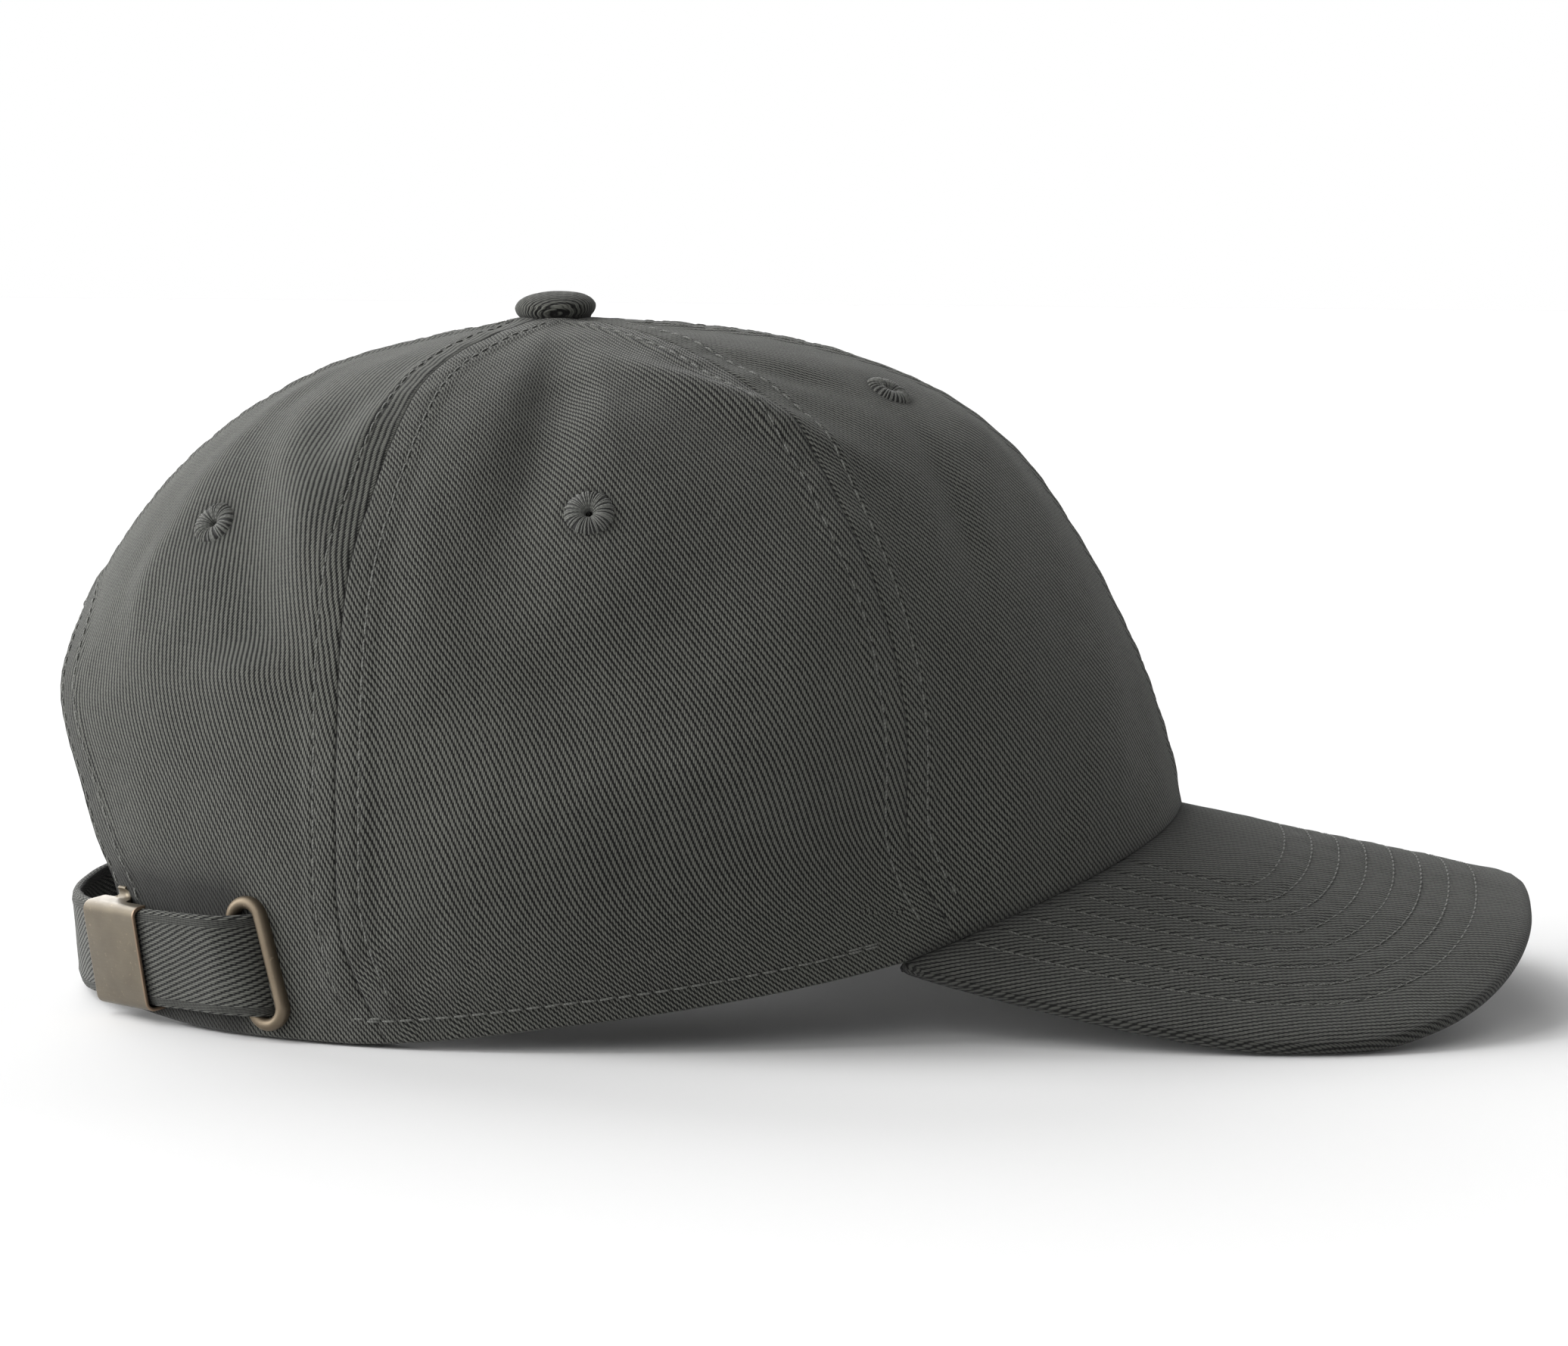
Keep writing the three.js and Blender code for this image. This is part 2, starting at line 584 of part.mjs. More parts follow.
function addStrap() {
  const edges = [-0.5, 0.5];
  const faces = [0.5, -0.5].map((layer) => {
    const grid = [];
    for (let i = 0; i <= STRAP_CELLS; i++)
      grid.push(edges.map((across) => strapPoint(i / STRAP_CELLS, across, layer)));
    return grid;
  });
  addPiece('strap', wallBetween(...faces), cloth);
}

function addSlotRing() {
  const { proud, barrel, gap } = SLOT_RING;
  const hole = SLOT.opening / 2;
  const section = rivetSection(hole, SLOT.wide / 2, proud, hole + barrel, gap);
  addPiece('slot_ring', ringGeometry(section, SLOT.straight, ROUND_STEPS), brass, slotFrame());
}

// The buckle's own frame: X runs forward along the strap, Y up across it and Z out, from the hem's outline.
function buckleFrame() {
  const { azimuth, height, turn, tilt } = BUCKLE_PLACE;
  const place = outline(HEM_LEVEL, azimuth);
  const out = outline(HEM_LEVEL, azimuth, 1).sub(place);
  const frame = new THREE.Matrix4().makeBasis(
    new THREE.Vector3(-out.y, out.x, 0),
    new THREE.Vector3(0, 0, 1),
    new THREE.Vector3(out.x, out.y, 0),
  );
  frame.multiply(new THREE.Matrix4().makeRotationX(rad(tilt)));
  frame.multiply(new THREE.Matrix4().makeRotationZ(rad(turn)));
  return frame.setPosition(place.x, place.y, height);
}

// A length of the clip's section: the plate over the strap and a lip folded in at each edge.
function clipGeometry(length, reach) {
  const { tall, sheet, face, corner } = BUCKLE;
  const [half, front, back] = [tall / 2, face + sheet, face + sheet - reach];
  const section = new THREE.Shape();
  section.moveTo(back, -half);
  section.absarc(front - corner, corner - half, corner, -PI / 2, 0, false);
  section.absarc(front - corner, half - corner, corner, 0, PI / 2, false);
  section.lineTo(back, half);
  section.lineTo(back, half - sheet);
  section.absarc(front - corner, half - corner, corner - sheet, PI / 2, 0, true);
  section.absarc(front - corner, corner - half, corner - sheet, 0, -PI / 2, true);
  section.lineTo(back, sheet - half);
  const clip = new THREE.ExtrudeGeometry(section, { depth: length, bevelEnabled: false, curveSegments: 4 });
  return clip.rotateY(-PI / 2);
}

const barX = (LUG.long - BUCKLE.long) / 2;

// The buckle: the plate, its lips and two lugs at its rear end that hold a bar behind the strap.
function addBuckle() {
  const { long, tall, sheet, lip } = BUCKLE;
  const plate = clipGeometry(long, lip).translate(long / 2, 0, 0);
  const lugs = clipGeometry(LUG.long, LUG.reach).translate(LUG.long - long / 2, 0, 0);
  const bar = new THREE.CylinderGeometry(LUG.bar, LUG.bar, tall - sheet, 10).translate(barX, 0, LUG.barOut);
  addPiece('buckle', joined([plate, lugs, bar]), brass, buckleFrame());
}

// The short tab that is sewn inside the right corner and loops round the buckle's bar.
function addBuckleTab() {
  const { reach, thickness, eye, width } = TAB;
  const boreRadius = LUG.bar + FIT_GAP;
  const strip = new THREE.BoxGeometry(reach, width, thickness).translate(barX + reach / 2, 0, LUG.barOut);
  const loop = new THREE.CylinderGeometry(eye, eye, width, 14).translate(barX, 0, LUG.barOut);
  const bore = new THREE.CylinderGeometry(boreRadius, boreRadius, width * 2, 12);
  bore.translate(barX, 0, LUG.barOut);
  addPiece('buckle_tab', cut(joined([strip, loop]), [bore]), cloth, buckleFrame());
}

addPanels();
addPeak();
addButton();
addSweatband();
addStrap();
addSlotRing();
addBuckle();
addBuckleTab();

export default hat;
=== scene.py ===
import math

import bpy
import numpy as np
from mathutils import Matrix, Vector


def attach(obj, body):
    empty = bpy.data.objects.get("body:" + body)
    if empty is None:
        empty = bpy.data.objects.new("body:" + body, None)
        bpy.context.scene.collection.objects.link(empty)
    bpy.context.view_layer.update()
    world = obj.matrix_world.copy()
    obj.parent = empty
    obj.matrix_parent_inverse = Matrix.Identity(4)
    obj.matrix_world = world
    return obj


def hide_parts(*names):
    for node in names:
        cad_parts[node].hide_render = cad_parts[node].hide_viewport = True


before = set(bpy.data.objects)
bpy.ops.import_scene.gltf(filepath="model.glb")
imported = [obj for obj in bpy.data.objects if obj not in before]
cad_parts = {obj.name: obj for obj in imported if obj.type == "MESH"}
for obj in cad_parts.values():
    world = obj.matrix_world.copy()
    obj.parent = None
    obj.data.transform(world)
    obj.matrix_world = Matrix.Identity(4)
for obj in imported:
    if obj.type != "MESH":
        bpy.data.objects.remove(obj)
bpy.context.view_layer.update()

MM = 0.001
TAU = 2 * math.pi

# The crown's sizes
CROWN_X = -45.4
CROWN_TOP = 120.6
TIP_DROP = 0.02
CLOTH = 1.2

# lift, front, back, side, front seam, back seam: a row for each level from the top down
LEVELS = np.array([
    (1.0, CROWN_X, CROWN_X, 0, 58, 123),
    (0.985, -18.5, -59.5, 17.5, 58, 123),
    (0.96, -2.2, -72.9, 29.5, 57, 122),
    (0.92, 10.7, -87.3, 41.5, 55.3, 119.5),
    (0.86, 22.9, -100.1, 52.5, 53.8, 116.6),
    (0.78, 33.7, -111.8, 62.0, 53.4, 114.7),
    (0.68, 42.4, -121.8, 69.5, 53.4, 113.6),
    (0.56, 49.6, -130.1, 75.5, 52.8, 112.4),
    (0.44, 55.2, -137.3, 79.0, 52.6, 111),
    (0.3, 61.2, -136.3, 80.8, 53.5, 111.3),
    (0.15, 65.9, -133.7, 80.8, 53.9, 111.4),
    (0.0, 68.8, -131.1, 79.0, 51.2, 106.5),
])
LIFT, FRONT, BACK, SIDE, FRONT_SEAM, BACK_SEAM = range(6)

# azimuth, drop, wide, long, lean and rise of each fold of the worn cloth. A seventh number, its tail, says
# how much wider the fold is towards the front.
FOLDS = [
    (129.5, 0.45, 6.5, 0.1, -110, 2.4),
    (119, 0.575, 5.0, 0.095, -50, 2.2, 2.4),
    (123, 0.68, 7.0, 0.032, -40, 2.0),
    (121.5, 0.4, 4.0, 0.08, -30, 1.7),
    (115, 0.5, 4.0, 0.14, -38, -0.5),
    (131.5, 0.56, 6.0, 0.09, -80, -1.6),
    (138, 0.9, 20.0, 0.035, 0, -2.0),
    (90.8, 0.4, 5.8, 0.19, 14, -3.6),
    (87.5, 0.685, 8.0, 0.05, 0, -1.7),
    (74, 0.795, 13.0, 0.042, 0, 2.6),
    (91, 0.83, 10.0, 0.045, 0, 0.9),
    (63, 0.68, 9.5, 0.13, 40, 2.8),
    (71, 0.87, 15.0, 0.045, 0, -1.0),
    (66, 1.0, 14.0, 0.03, 0, 2.2),
    (55, 0.885, 9.5, 0.075, 0, -3.4),
    (35.3, 0.55, 3.4, 0.11, 30, -1.5),
    (19, 0.46, 6.0, 0.07, 60, 1.2),
    (60, 0.345, 5.2, 0.1, -110, 2.7),
    (24, 0.88, 5.0, 0.08, 40, 0.9),
    (226, 0.47, 7.0, 0.16, 90, 1.8),
    (217, 0.58, 9.0, 0.12, 60, -1.6),
    (268, 0.45, 6.0, 0.18, -6, -2.2),
    (286, 0.74, 14.0, 0.09, 50, 1.8),
    (298, 0.86, 17.0, 0.07, 0, -2.0),
    (322, 0.57, 5.0, 0.15, -30, 1.5),
]
# Smaller creases and ripples, in the same columns
CREASES = [
    (45, 0.265, 6.0, 0.09, -110, -1.1),
    (149, 0.585, 4.0, 0.04, -20, 0.9),
    (140, 0.655, 5.0, 0.05, -30, 0.9),
    (84, 0.29, 8.0, 0.05, 0, -0.9),
    (112, 0.93, 2.2, 0.035, 40, 0.5),
    (106, 0.96, 2.0, 0.03, 0, 0.4),
    (101, 0.92, 2.4, 0.03, 30, -0.35),
    (42, 0.9, 2.6, 0.04, 60, 0.5),
    (37, 0.94, 2.4, 0.035, 60, -0.4),
    (31, 0.91, 2.8, 0.05, 80, 0.5),
    (68, 0.63, 4.0, 0.04, -60, 0.5),
    (80, 0.31, 3.0, 0.1, 10, 0.4),
    (104, 0.55, 3.2, 0.09, -30, 0.4),
    (146, 0.64, 4.0, 0.04, -60, 0.6),
    (150, 0.7, 4.0, 0.03, -40, -0.5),
    (150, 0.5, 6.0, 0.1, -40, 0.9),
    (158, 0.32, 5.0, 0.08, -60, 0.6),
    (246, 0.62, 4.0, 0.07, 50, 0.6),
    (256, 0.78, 4.5, 0.05, 30, -0.5),
    (248, 0.92, 2.4, 0.04, -40, 0.5),
    (262, 0.93, 2.2, 0.03, 0, -0.4),
    (278, 0.6, 4.0, 0.06, 40, 0.5),
    (309, 0.42, 5.0, 0.08, 20, -0.7),
    (318, 0.91, 2.6, 0.04, -60, 0.5),
    (205, 0.62, 4.0, 0.04, 40, 0.5),
    (14, 0.5, 4.0, 0.12, 20, 0.6),
    (348, 0.56, 4.0, 0.12, -20, 0.6),
]

# The peak and the hem that follows it
RIDGE_X, RIDGE_HEIGHT, RIDGE_SLOPE = 68.8, 33.3, 0.206
ARCH_HALF, ARCH_FALL, ARCH_POWER, ARCH_SOFT = 65.8, 31.0, 1.75, 6.0
ARCH_FROM, ARCH_SPREAD = 14.5, 0.0062
PEAK_TIP, PEAK_WIDEST, PEAK_HALF, PEAK_REAR = 130.4, 75.5, 76.6, 167.5
PEAK_FRONT_POWER, PEAK_REAR_POWER, PEAK_CORNER = 2.4, 1.5, 116.7
PEAK_AZIMUTH = 56.5
PEAK_THICKNESS = 3.0
HEM_FADE, REST_FROM, REST_TO, CORNER_AT, CORNER_RISE, HEM_FLAT = 1.5, 112, 128, 152, 1.5, 0.94

# The opening at the back, the strap, its hardware and the sweatband
OPENING_HALF, OPENING_RISE, OPENING_POWER = 44.0, 68.0, 2.05
STRAP_WIDTH, STRAP_THICKNESS = 16.7, 1.8
STRAP_SWELL, STRAP_RIM, STRAP_RIM_AT, STRAP_RIM_WIDE, STRAP_SINK = 0.22, 0.16, 0.43, 0.03, 0.3
# azimuth, out, height, tilt, lean: the strap's middle line, from the wearer's left to the slot
STRAP_ROUTE = np.array([
    (231, -2.0, 12.2, 4, 0),
    (221, -2.3, 12.0, 3, 0),
    (213, -2.5, 11.6, 2, 0),
    (204, -1.4, 10.9, 1, 0),
    (192, -0.7, 9.9, 1, 0),
    (178, -0.5, 9.4, 2, 0),
    (165, 0.5, 9.8, 6, 0),
    (154, 2.0, 10.5, 9, 0),
    (144, 2.8, 11.0, 9, 0),
    (134, 3.3, 11.6, 9, 5),
    (127.6, 4.3, 12.0, 8, 12),
    (125.2, 4.1, 12.1, 8, 16),
    (123.6, 3.1, 12.2, 7, 17),
    (122.5, 1.4, 12.3, 6, 17),
    (121.7, -1.0, 12.3, 6, 17),
    (120.2, -2.5, 12.4, 6, 17),
    (116.2, -2.7, 12.5, 6, 17),
])
SLOT_AZIMUTH, SLOT_HEIGHT, SLOT_LEAN = 122.4, 12.7, 17
SLOT_STRAIGHT, SLOT_OPENING, SLOT_WIDE = 15.2, 3.8, 8.2
BUCKLE_AZIMUTH, BUCKLE_HEIGHT, BUCKLE_TURN, BUCKLE_TILT = 144.8, 11.4, 2, 9
BUCKLE_LONG, BUCKLE_TALL, BUCKLE_SHEET, BUCKLE_FACE, BUCKLE_BOW = 17.2, 18.5, 0.6, 4.1, 0.35
BAR_X, BAR_OUT, BAR_RADIUS = -7.1, -1.9, 0.8
TAB_END, TAB_STEP, TAB_HALF, TAB_THICKNESS, TAB_CLEAR = 9.0, 1.2, 6.6, 0.7, 0.45
BAND_END, BAND_TALL, BAND_FOOT, BAND_THICKNESS, BAND_ROOM = 143, 29.0, 0.9, 0.9, 4.2

EYELETS = {"front": (23.7, 0.343), "side": (84.1, 0.498), "back": (141.6, 0.519)}
EYELET_RADIUS, EYELET_HOLE, EYELET_CUT, EYELET_SINK = 4.2, 0.74, 1.9, 0.75
STRANDS, STRAND_SIDES, PAD_RISE, PAD_SINK = 42, 6, 1.45, 0.55
BUTTON_RADIUS, BUTTON_TILT = 7.35, 3

# Sewing: the stitches' pitch, and how far each row lies from a seam, the hem, the peak's edge and the arch
STITCH, PEAK_STITCH, STITCH_SHARE, STITCH_JITTER = 3.1, 2.35, 0.88, 0.03
SEAM_ROW, HEM_ROW, BACKTACK, BACKTACK_RISE = 4.2, 4.0, 4.5, 0.45
HEM_ROW_ENDS = (59.0, 111.3)
PEAK_ROWS = [9.3 + 5.0 * k for k in range(8)]
ARCH_ROWS = [1.3, 5.6]

# How high or deep the cloth is shaped by its sewing and its wear, and how wide
PANEL_SINK, SWELL_RISE, RIPPLE_RISE = 0.38, 0.16, 0.05
ALLOWANCE_RISE, ALLOWANCE_WIDE, SEAM_DEPTH, SEAM_WIDE = 0.4, 6.2, 0.3, 0.3
PUCKER_RISE, PUCKER_PITCH, PUCKER_OUT, PUCKER_WIDE = 0.13, 7.3, 2.4, 1.6
ROW_DEPTH, ROW_WIDE, ROW_PUCKER, ROW_PUCKER_WIDE = 0.24, 0.5, 0.08, 1.2
ARCH_HEM_RISE, ARCH_HEM_WIDE, HEM_RISE, HEM_WIDE = 0.35, 8.2, 0.25, 11
EYELET_DENT, EYELET_DENT_WIDE = 0.5, 5.2
PEAK_SWELL, PEAK_ROW_DEPTH, PEAK_ROW_WIDE = 0.14, 0.26, 0.55
PEAK_PUCKER, PEAK_PUCKER_PITCH, PEAK_PUCKER_OUT, PEAK_PUCKER_WIDE = 0.06, 9.0, 1.6, 1.4
PEAK_EDGE_FALL, PEAK_EDGE_WIDE = 0.3, 3.0

# How dark the painted shade is in the creases and at the joints, from 0 to 1, and where the strap's painted
# shadow lies
SEAM_SHADE, ROW_SHADE, PEAK_ROW_SHADE, EYELET_SHADE, FOLDED_EDGE_SHADE = 0.85, 0.2, 0.12, 0.45, 0.25
ARCH_SHADE, JOINT_SHADE, RIM_SHADE = 0.3, 0.6, 0.4
STRAP_TOP, STRAP_SHADE, STRAP_SHADE_FROM = 24.6, 0.78, 121

# The camera, the floor, the fill and the lights: azimuth from +X towards +Y, elevation, strength, softness
CAMERA_PLACE, CAMERA_LENS, SENSOR = (-3.7, -900, 141.6), 114.15, 36
CAMERA_PITCH, CAMERA_ROLL = 5.408, 0.5
FLOOR_SIZE, FLOOR_Z, PALE = 12000, -0.4, 0.76
FILL = 0.14
SUNS = {
    "high_back": (180, 50, 1.4, 40),
    "low_back": (182, 20, 2.7, 40),
    "near_side": (240, 25, 1.3, 50),
    "far_side": (115, 24, 2.6, 50),
    "front": (50, 20, 1.15, 50),
}


# Numbers over arrays


def smooth(value):
    value = np.clip(value, 0, 1)
    return value * value * (3 - 2 * value)


def bell(distance, width):
    return np.exp(-((distance / width) ** 2))


def unit(vectors):
    return vectors / np.maximum(np.linalg.norm(vectors, axis=-1, keepdims=True), 1e-9)


def stacked(*parts):
    """Numbers or arrays of matching shapes, side by side along a new last axis."""
    return np.stack(np.broadcast_arrays(*parts), -1)


def along_table(table, place, before=None):
    """The values of a table at places from 0 at its first row to 1 at its last, on four-point curves."""
    rows = np.vstack([table[0] if before is None else before, table, table[-1]])
    steps = np.clip(np.asarray(place, float), 0, 1) * (len(table) - 1)
    first = np.clip(np.floor(steps).astype(int), 0, len(table) - 2)
    u = (steps - first)[..., None]
    a, b, c, d = (rows[first + k] for k in range(4))
    return b + 0.5 * u * (c - a + u * (2 * a - 5 * b + 4 * c - d + u * (3 * (b - c) + d - a)))


OVER_THE_TOP = LEVELS[1][[LIFT, BACK, FRONT, SIDE, FRONT_SEAM, BACK_SEAM]] * (1, 1, 1, -1, 1, 1)


def level_at(drop):
    return along_table(LEVELS, drop, OVER_THE_TOP)


def outline(level, azimuth, out=0.0):
    angle = np.radians(azimuth)
    cosine, sine = np.cos(angle), np.sin(angle)
    reach = np.where(cosine > 0, level[..., FRONT] - CROWN_X, CROWN_X - level[..., BACK])
    side = level[..., SIDE]
    normal = unit(stacked(side * cosine, -reach * sine))
    x = CROWN_X + reach * cosine + out * normal[..., 0]
    y = -side * sine + out * normal[..., 1]
    return x, y


def peak_height(x, y):
    spread = 1 + ARCH_SPREAD * np.maximum(0, x - ARCH_FROM)
    across = (y * y + ARCH_SOFT**2) ** (ARCH_POWER / 2) - ARCH_SOFT**ARCH_POWER
    fall = ARCH_FALL / ARCH_HALF**ARCH_POWER * across
    return RIDGE_HEIGHT + (RIDGE_X - x) * RIDGE_SLOPE - fall / spread


def hem_height(azimuth):
    angle = np.abs(azimuth)
    angle = np.where(angle > 180, 360 - angle, angle)
    height = peak_height(*outline(LEVELS[-1], np.minimum(angle, PEAK_AZIMUTH)))
    fade = np.clip(1 - (angle - PEAK_AZIMUTH) / (REST_FROM - PEAK_AZIMUTH), 0, 1)
    corner = CORNER_RISE * smooth((angle - REST_TO) / (CORNER_AT - REST_TO))
    beside = np.where(angle <= REST_FROM, height * fade**HEM_FADE, corner)
    return np.where(angle <= PEAK_AZIMUTH, height, beside)


def crown_base(azimuth, drop):
    azimuth, drop = np.broadcast_arrays(np.asarray(azimuth, float), np.asarray(drop, float))
    level = level_at(drop)
    x, y = outline(level, azimuth)
    hem = hem_height(azimuth)
    return stacked(x, y, hem + level[..., LIFT] * (CROWN_TOP - hem))


def crown_normal(azimuth, drop):
    low = np.maximum(drop, TIP_DROP)
    around = crown_base(azimuth + 0.5, low) - crown_base(azimuth - 0.5, low)
    down = crown_base(azimuth, np.minimum(low + 0.01, 1)) - crown_base(azimuth, low - 0.01)
    normal = unit(np.cross(around, down))
    flat = np.clip((np.asarray(drop, float) - HEM_FLAT) / (1 - HEM_FLAT), 0, 1)
    normal[..., 2] *= 1 - flat
    return unit(normal)


def fold_rise(table, azimuth, drop):
    rise = 0
    for centre, level, wide, long, lean, height, *tail in table:
        along = (drop - level) / long
        across = (azimuth - centre - lean * (drop - level)) / wide
        if tail:
            across = np.where(across < 0, across / tail[0], across)
        rise = rise + height * np.exp(-across * across - along * along)
    return rise


DROPS = np.linspace(0, 1, 2001)
LIFTS = level_at(DROPS)[:, LIFT]


def drop_at_lift(lift):
    return np.interp(lift, LIFTS[::-1], DROPS[::-1])


def drop_above_hem(azimuth, height):
    return drop_at_lift(height / (CROWN_TOP - hem_height(azimuth)))


def lengths(points):
    steps = np.linalg.norm(np.diff(points, axis=-2), axis=-1)
    return np.concatenate([np.zeros(steps.shape[:-1] + (1,)), np.cumsum(steps, -1)], -1)


CHUNK = 2000


def nearest(points, line):
    """For each point, its distance from a line and how far along the line that is."""
    far, where = np.empty(len(points)), np.empty(len(points))
    run = lengths(line)
    for start in range(0, len(points), CHUNK):
        part = slice(start, start + CHUNK)
        gap = ((points[part, None] - line[None]) ** 2).sum(-1)
        far[part] = np.sqrt(gap.min(1))
        where[part] = run[gap.argmin(1)]
    return far, where


rng = np.random.default_rng(7)


def waves(count, shortest, longest):
    """Plane waves in random directions, for the slight unevenness of washed cloth."""
    directions = unit(rng.normal(size=(count, 3)))
    return directions * (TAU / rng.uniform(shortest, longest, (count, 1))), rng.uniform(0, TAU, count)


SWELL = waves(14, 16, 46)
RIPPLE = waves(24, 5, 12)


def unevenness(points, field):
    ways, phases = field
    return np.sin(points @ ways.T + phases).sum(-1) / math.sqrt(len(phases))


# Meshes


def border_of(rows, columns):
    loop = [(0, j) for j in range(columns - 1)] + [(i, columns - 1) for i in range(rows - 1)]
    loop += [(rows - 1, j) for j in range(columns - 1, 0, -1)] + [(i, 0) for i in range(rows - 1, 0, -1)]
    return np.array(loop)


def mark(mesh, name, values):
    """Gives each point of a mesh a number that its material reads."""
    layer = mesh.attributes.new(name, "FLOAT", "POINT")
    layer.data.foreach_set("value", np.asarray(values, float))


def lay_map(mesh, values):
    """Fills a mesh's cloth map from a pair of millimetres for each point."""
    corner = np.empty(len(mesh.loops), int)
    mesh.loops.foreach_get("vertex_index", corner)
    mesh.uv_layers["cloth"].data.foreach_set("uv", values[corner].ravel())


def dress(piece, material, slot, *nodes):
    """Gives a piece its material, and hides the parts of model.glb that it stands for. Its slot is not used.
    """
    piece.data.materials.append(finish[material])
    if nodes:
        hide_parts(*nodes)


def new_piece(name, points, faces, cloth, painted_shade=None):
    """A mesh object from points and a cloth map in millimetres, and how dark the painted shade is at each
    point.
    """
    mesh = bpy.data.meshes.new(name)
    mesh.from_pydata((np.asarray(points) * MM).tolist(), [], faces)
    mesh.polygons.foreach_set("use_smooth", [True] * len(mesh.polygons))
    mesh.uv_layers.new(name="cloth")
    lay_map(mesh, cloth)
    if painted_shade is not None:
        mark(mesh, "painted_shade", painted_shade)
    mesh.validate()
    mesh.update()
    piece = bpy.data.objects.new(name, mesh)
    bpy.context.scene.collection.objects.link(piece)
    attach(piece, "root")
    return piece


def hole_walls(kept, index, count):
    """The walls between a sheet's two faces round the holes that the cells not kept leave in it."""
    upright = kept[:, :-1], kept[:, 1:], index[:-1, 1:-1], index[1:, 1:-1]
    level = kept[:-1], kept[1:], index[1:-1, 1:], index[1:-1, :-1]
    walls = []
    for one, two, start, end in (upright, level):
        for place, p, q in ((one & ~two, end, start), (two & ~one, start, end)):
            p, q = p[place], q[place]
            walls.append(stacked(p, q, q + count, p + count))
    return walls


RIM_TURNS = np.radians([40, 90, 140])


def shell(name, outer, inward, thickness, cloth, painted_shade=0.0, bulge=1.0, gone=None):
    """A sheet of cloth between a grid of points and one a thickness under it, with a rounded rim."""
    rows, columns = outer.shape[:2]
    inner = outer + inward * thickness
    loop = border_of(rows, columns)
    rim, within = tuple(loop.T), tuple(np.clip(loop, 1, (rows - 2, columns - 2)).T)
    edge, back = outer[rim], inner[rim]
    away = unit(edge - outer[within])
    depth = back - edge
    away = unit(away - unit(depth) * (away * unit(depth)).sum(-1, keepdims=True))
    half = np.linalg.norm(depth, axis=-1, keepdims=True) / 2 * np.reshape(bulge, (-1, 1))
    rims = []
    for turn in RIM_TURNS:
        rims.append((edge + back) / 2 - depth / 2 * math.cos(turn) + away * half * math.sin(turn))
    points = np.concatenate([outer.reshape(-1, 3), inner.reshape(-1, 3), *rims])
    count, around = rows * columns, len(loop)
    index = np.arange(count).reshape(rows, columns)
    kept = np.ones((rows - 1, columns - 1), bool) if gone is None else ~gone
    front = stacked(index[:-1, :-1], index[:-1, 1:], index[1:, 1:], index[1:, :-1])[kept]
    faces = [front, front[:, ::-1] + count, *hole_walls(kept, index, count)]
    between = [2 * count + k * around + np.arange(around) for k in range(len(RIM_TURNS))]
    rings = [index[rim], *between, index[rim] + count]
    for one, two in zip(rings[:-1], rings[1:]):
        faces.append(stacked(np.roll(one, -1), one, two, np.roll(two, -1)))
    faces = np.concatenate(faces)
    if np.dot(np.cross(outer[0, 1] - outer[0, 0], outer[1, 0] - outer[0, 0]), inward[0, 0]) > 0:
        faces = faces[:, ::-1]
    used, faces = np.unique(faces, return_inverse=True)
    onward = unit(cloth[rim] - cloth[within]) * half
    cloth = np.concatenate([cloth.reshape(-1, 2)] * 2 + [cloth[rim] + onward * turn for turn in RIM_TURNS])
    painted_shade = np.broadcast_to(painted_shade, (rows, columns))
    painted_shade = np.concatenate([painted_shade.ravel()] * 2 + [painted_shade[rim]] * len(RIM_TURNS))
    return new_piece(name, points[used], faces.reshape(-1, 4).tolist(), cloth[used], painted_shade[used])


def tube_faces(shape, clockwise=False):
    """The faces of closed tubes, from the shape of the array of their points by tube, ring and side."""
    index = np.arange(math.prod(shape)).reshape(shape)
    if clockwise:
        index = index[..., ::-1]
    after = np.roll(index, -1, axis=2)
    sides = stacked(index[:, :-1], after[:, :-1], after[:, 1:], index[:, 1:]).reshape(-1, 4)
    return sides.tolist() + index[:, 0, ::-1].tolist() + index[:, -1].tolist()


# along, across and lift of a thread that dips into the cloth at both ends, a row for each ring of its sides
THREAD = np.array([
    (-0.5, 0.1, -0.42),
    (-0.43, 0.2, -0.12),
    (-0.2, 0.27, 0.1),
    (0.2, 0.27, 0.1),
    (0.43, 0.2, -0.12),
    (0.5, 0.1, -0.42),
])
THREAD_SIDES, THREAD_FLATNESS = 6, 0.85


def thread_mesh(starts, ends, normals, thickness):
    """Threads from starts to ends: points, faces and a map of the length along and the turn round each."""
    along = ends - starts
    side = unit(np.cross(along, normals))
    up = unit(np.cross(side, along))
    points = np.empty((len(starts), len(THREAD), THREAD_SIDES, 3))
    maps = np.empty(points.shape[:3] + (2,))
    for k, (place, radius, lift) in enumerate(THREAD):
        centre = (starts + ends) / 2 + along * place + up * lift * thickness
        for m in range(THREAD_SIDES):
            angle = TAU * m / THREAD_SIDES
            radial = side * math.cos(angle) + up * math.sin(angle) * THREAD_FLATNESS
            points[:, k, m] = centre + radial * radius * thickness
            maps[:, k, m, 0] = place * np.linalg.norm(along, axis=-1)
            maps[:, k, m, 1] = angle
    return points.reshape(-1, 3), tube_faces(points.shape[:3], clockwise=True), maps.reshape(-1, 2)


def sewn(line, normals, pitch):
    """The ends of the stitches that follow a line, and the way out of the cloth at each."""
    run = lengths(line)
    count = int((run[-1] - 0.4) / pitch)
    first = (np.arange(count) + (1 - STITCH_SHARE) / 2) * pitch + rng.normal(0, STITCH_JITTER, count)
    last = first + STITCH_SHARE * pitch + rng.normal(0, STITCH_JITTER, count)

    def at(values, places):
        return np.stack([np.interp(places, run, values[:, k]) for k in range(3)], -1)

    wander = np.cross(at(line, last) - at(line, first), at(normals, first)) * rng.normal(0, 0.015, (count, 1))
    return at(line, first) + wander, at(line, last) - wander, unit(at(normals, (first + last) / 2))


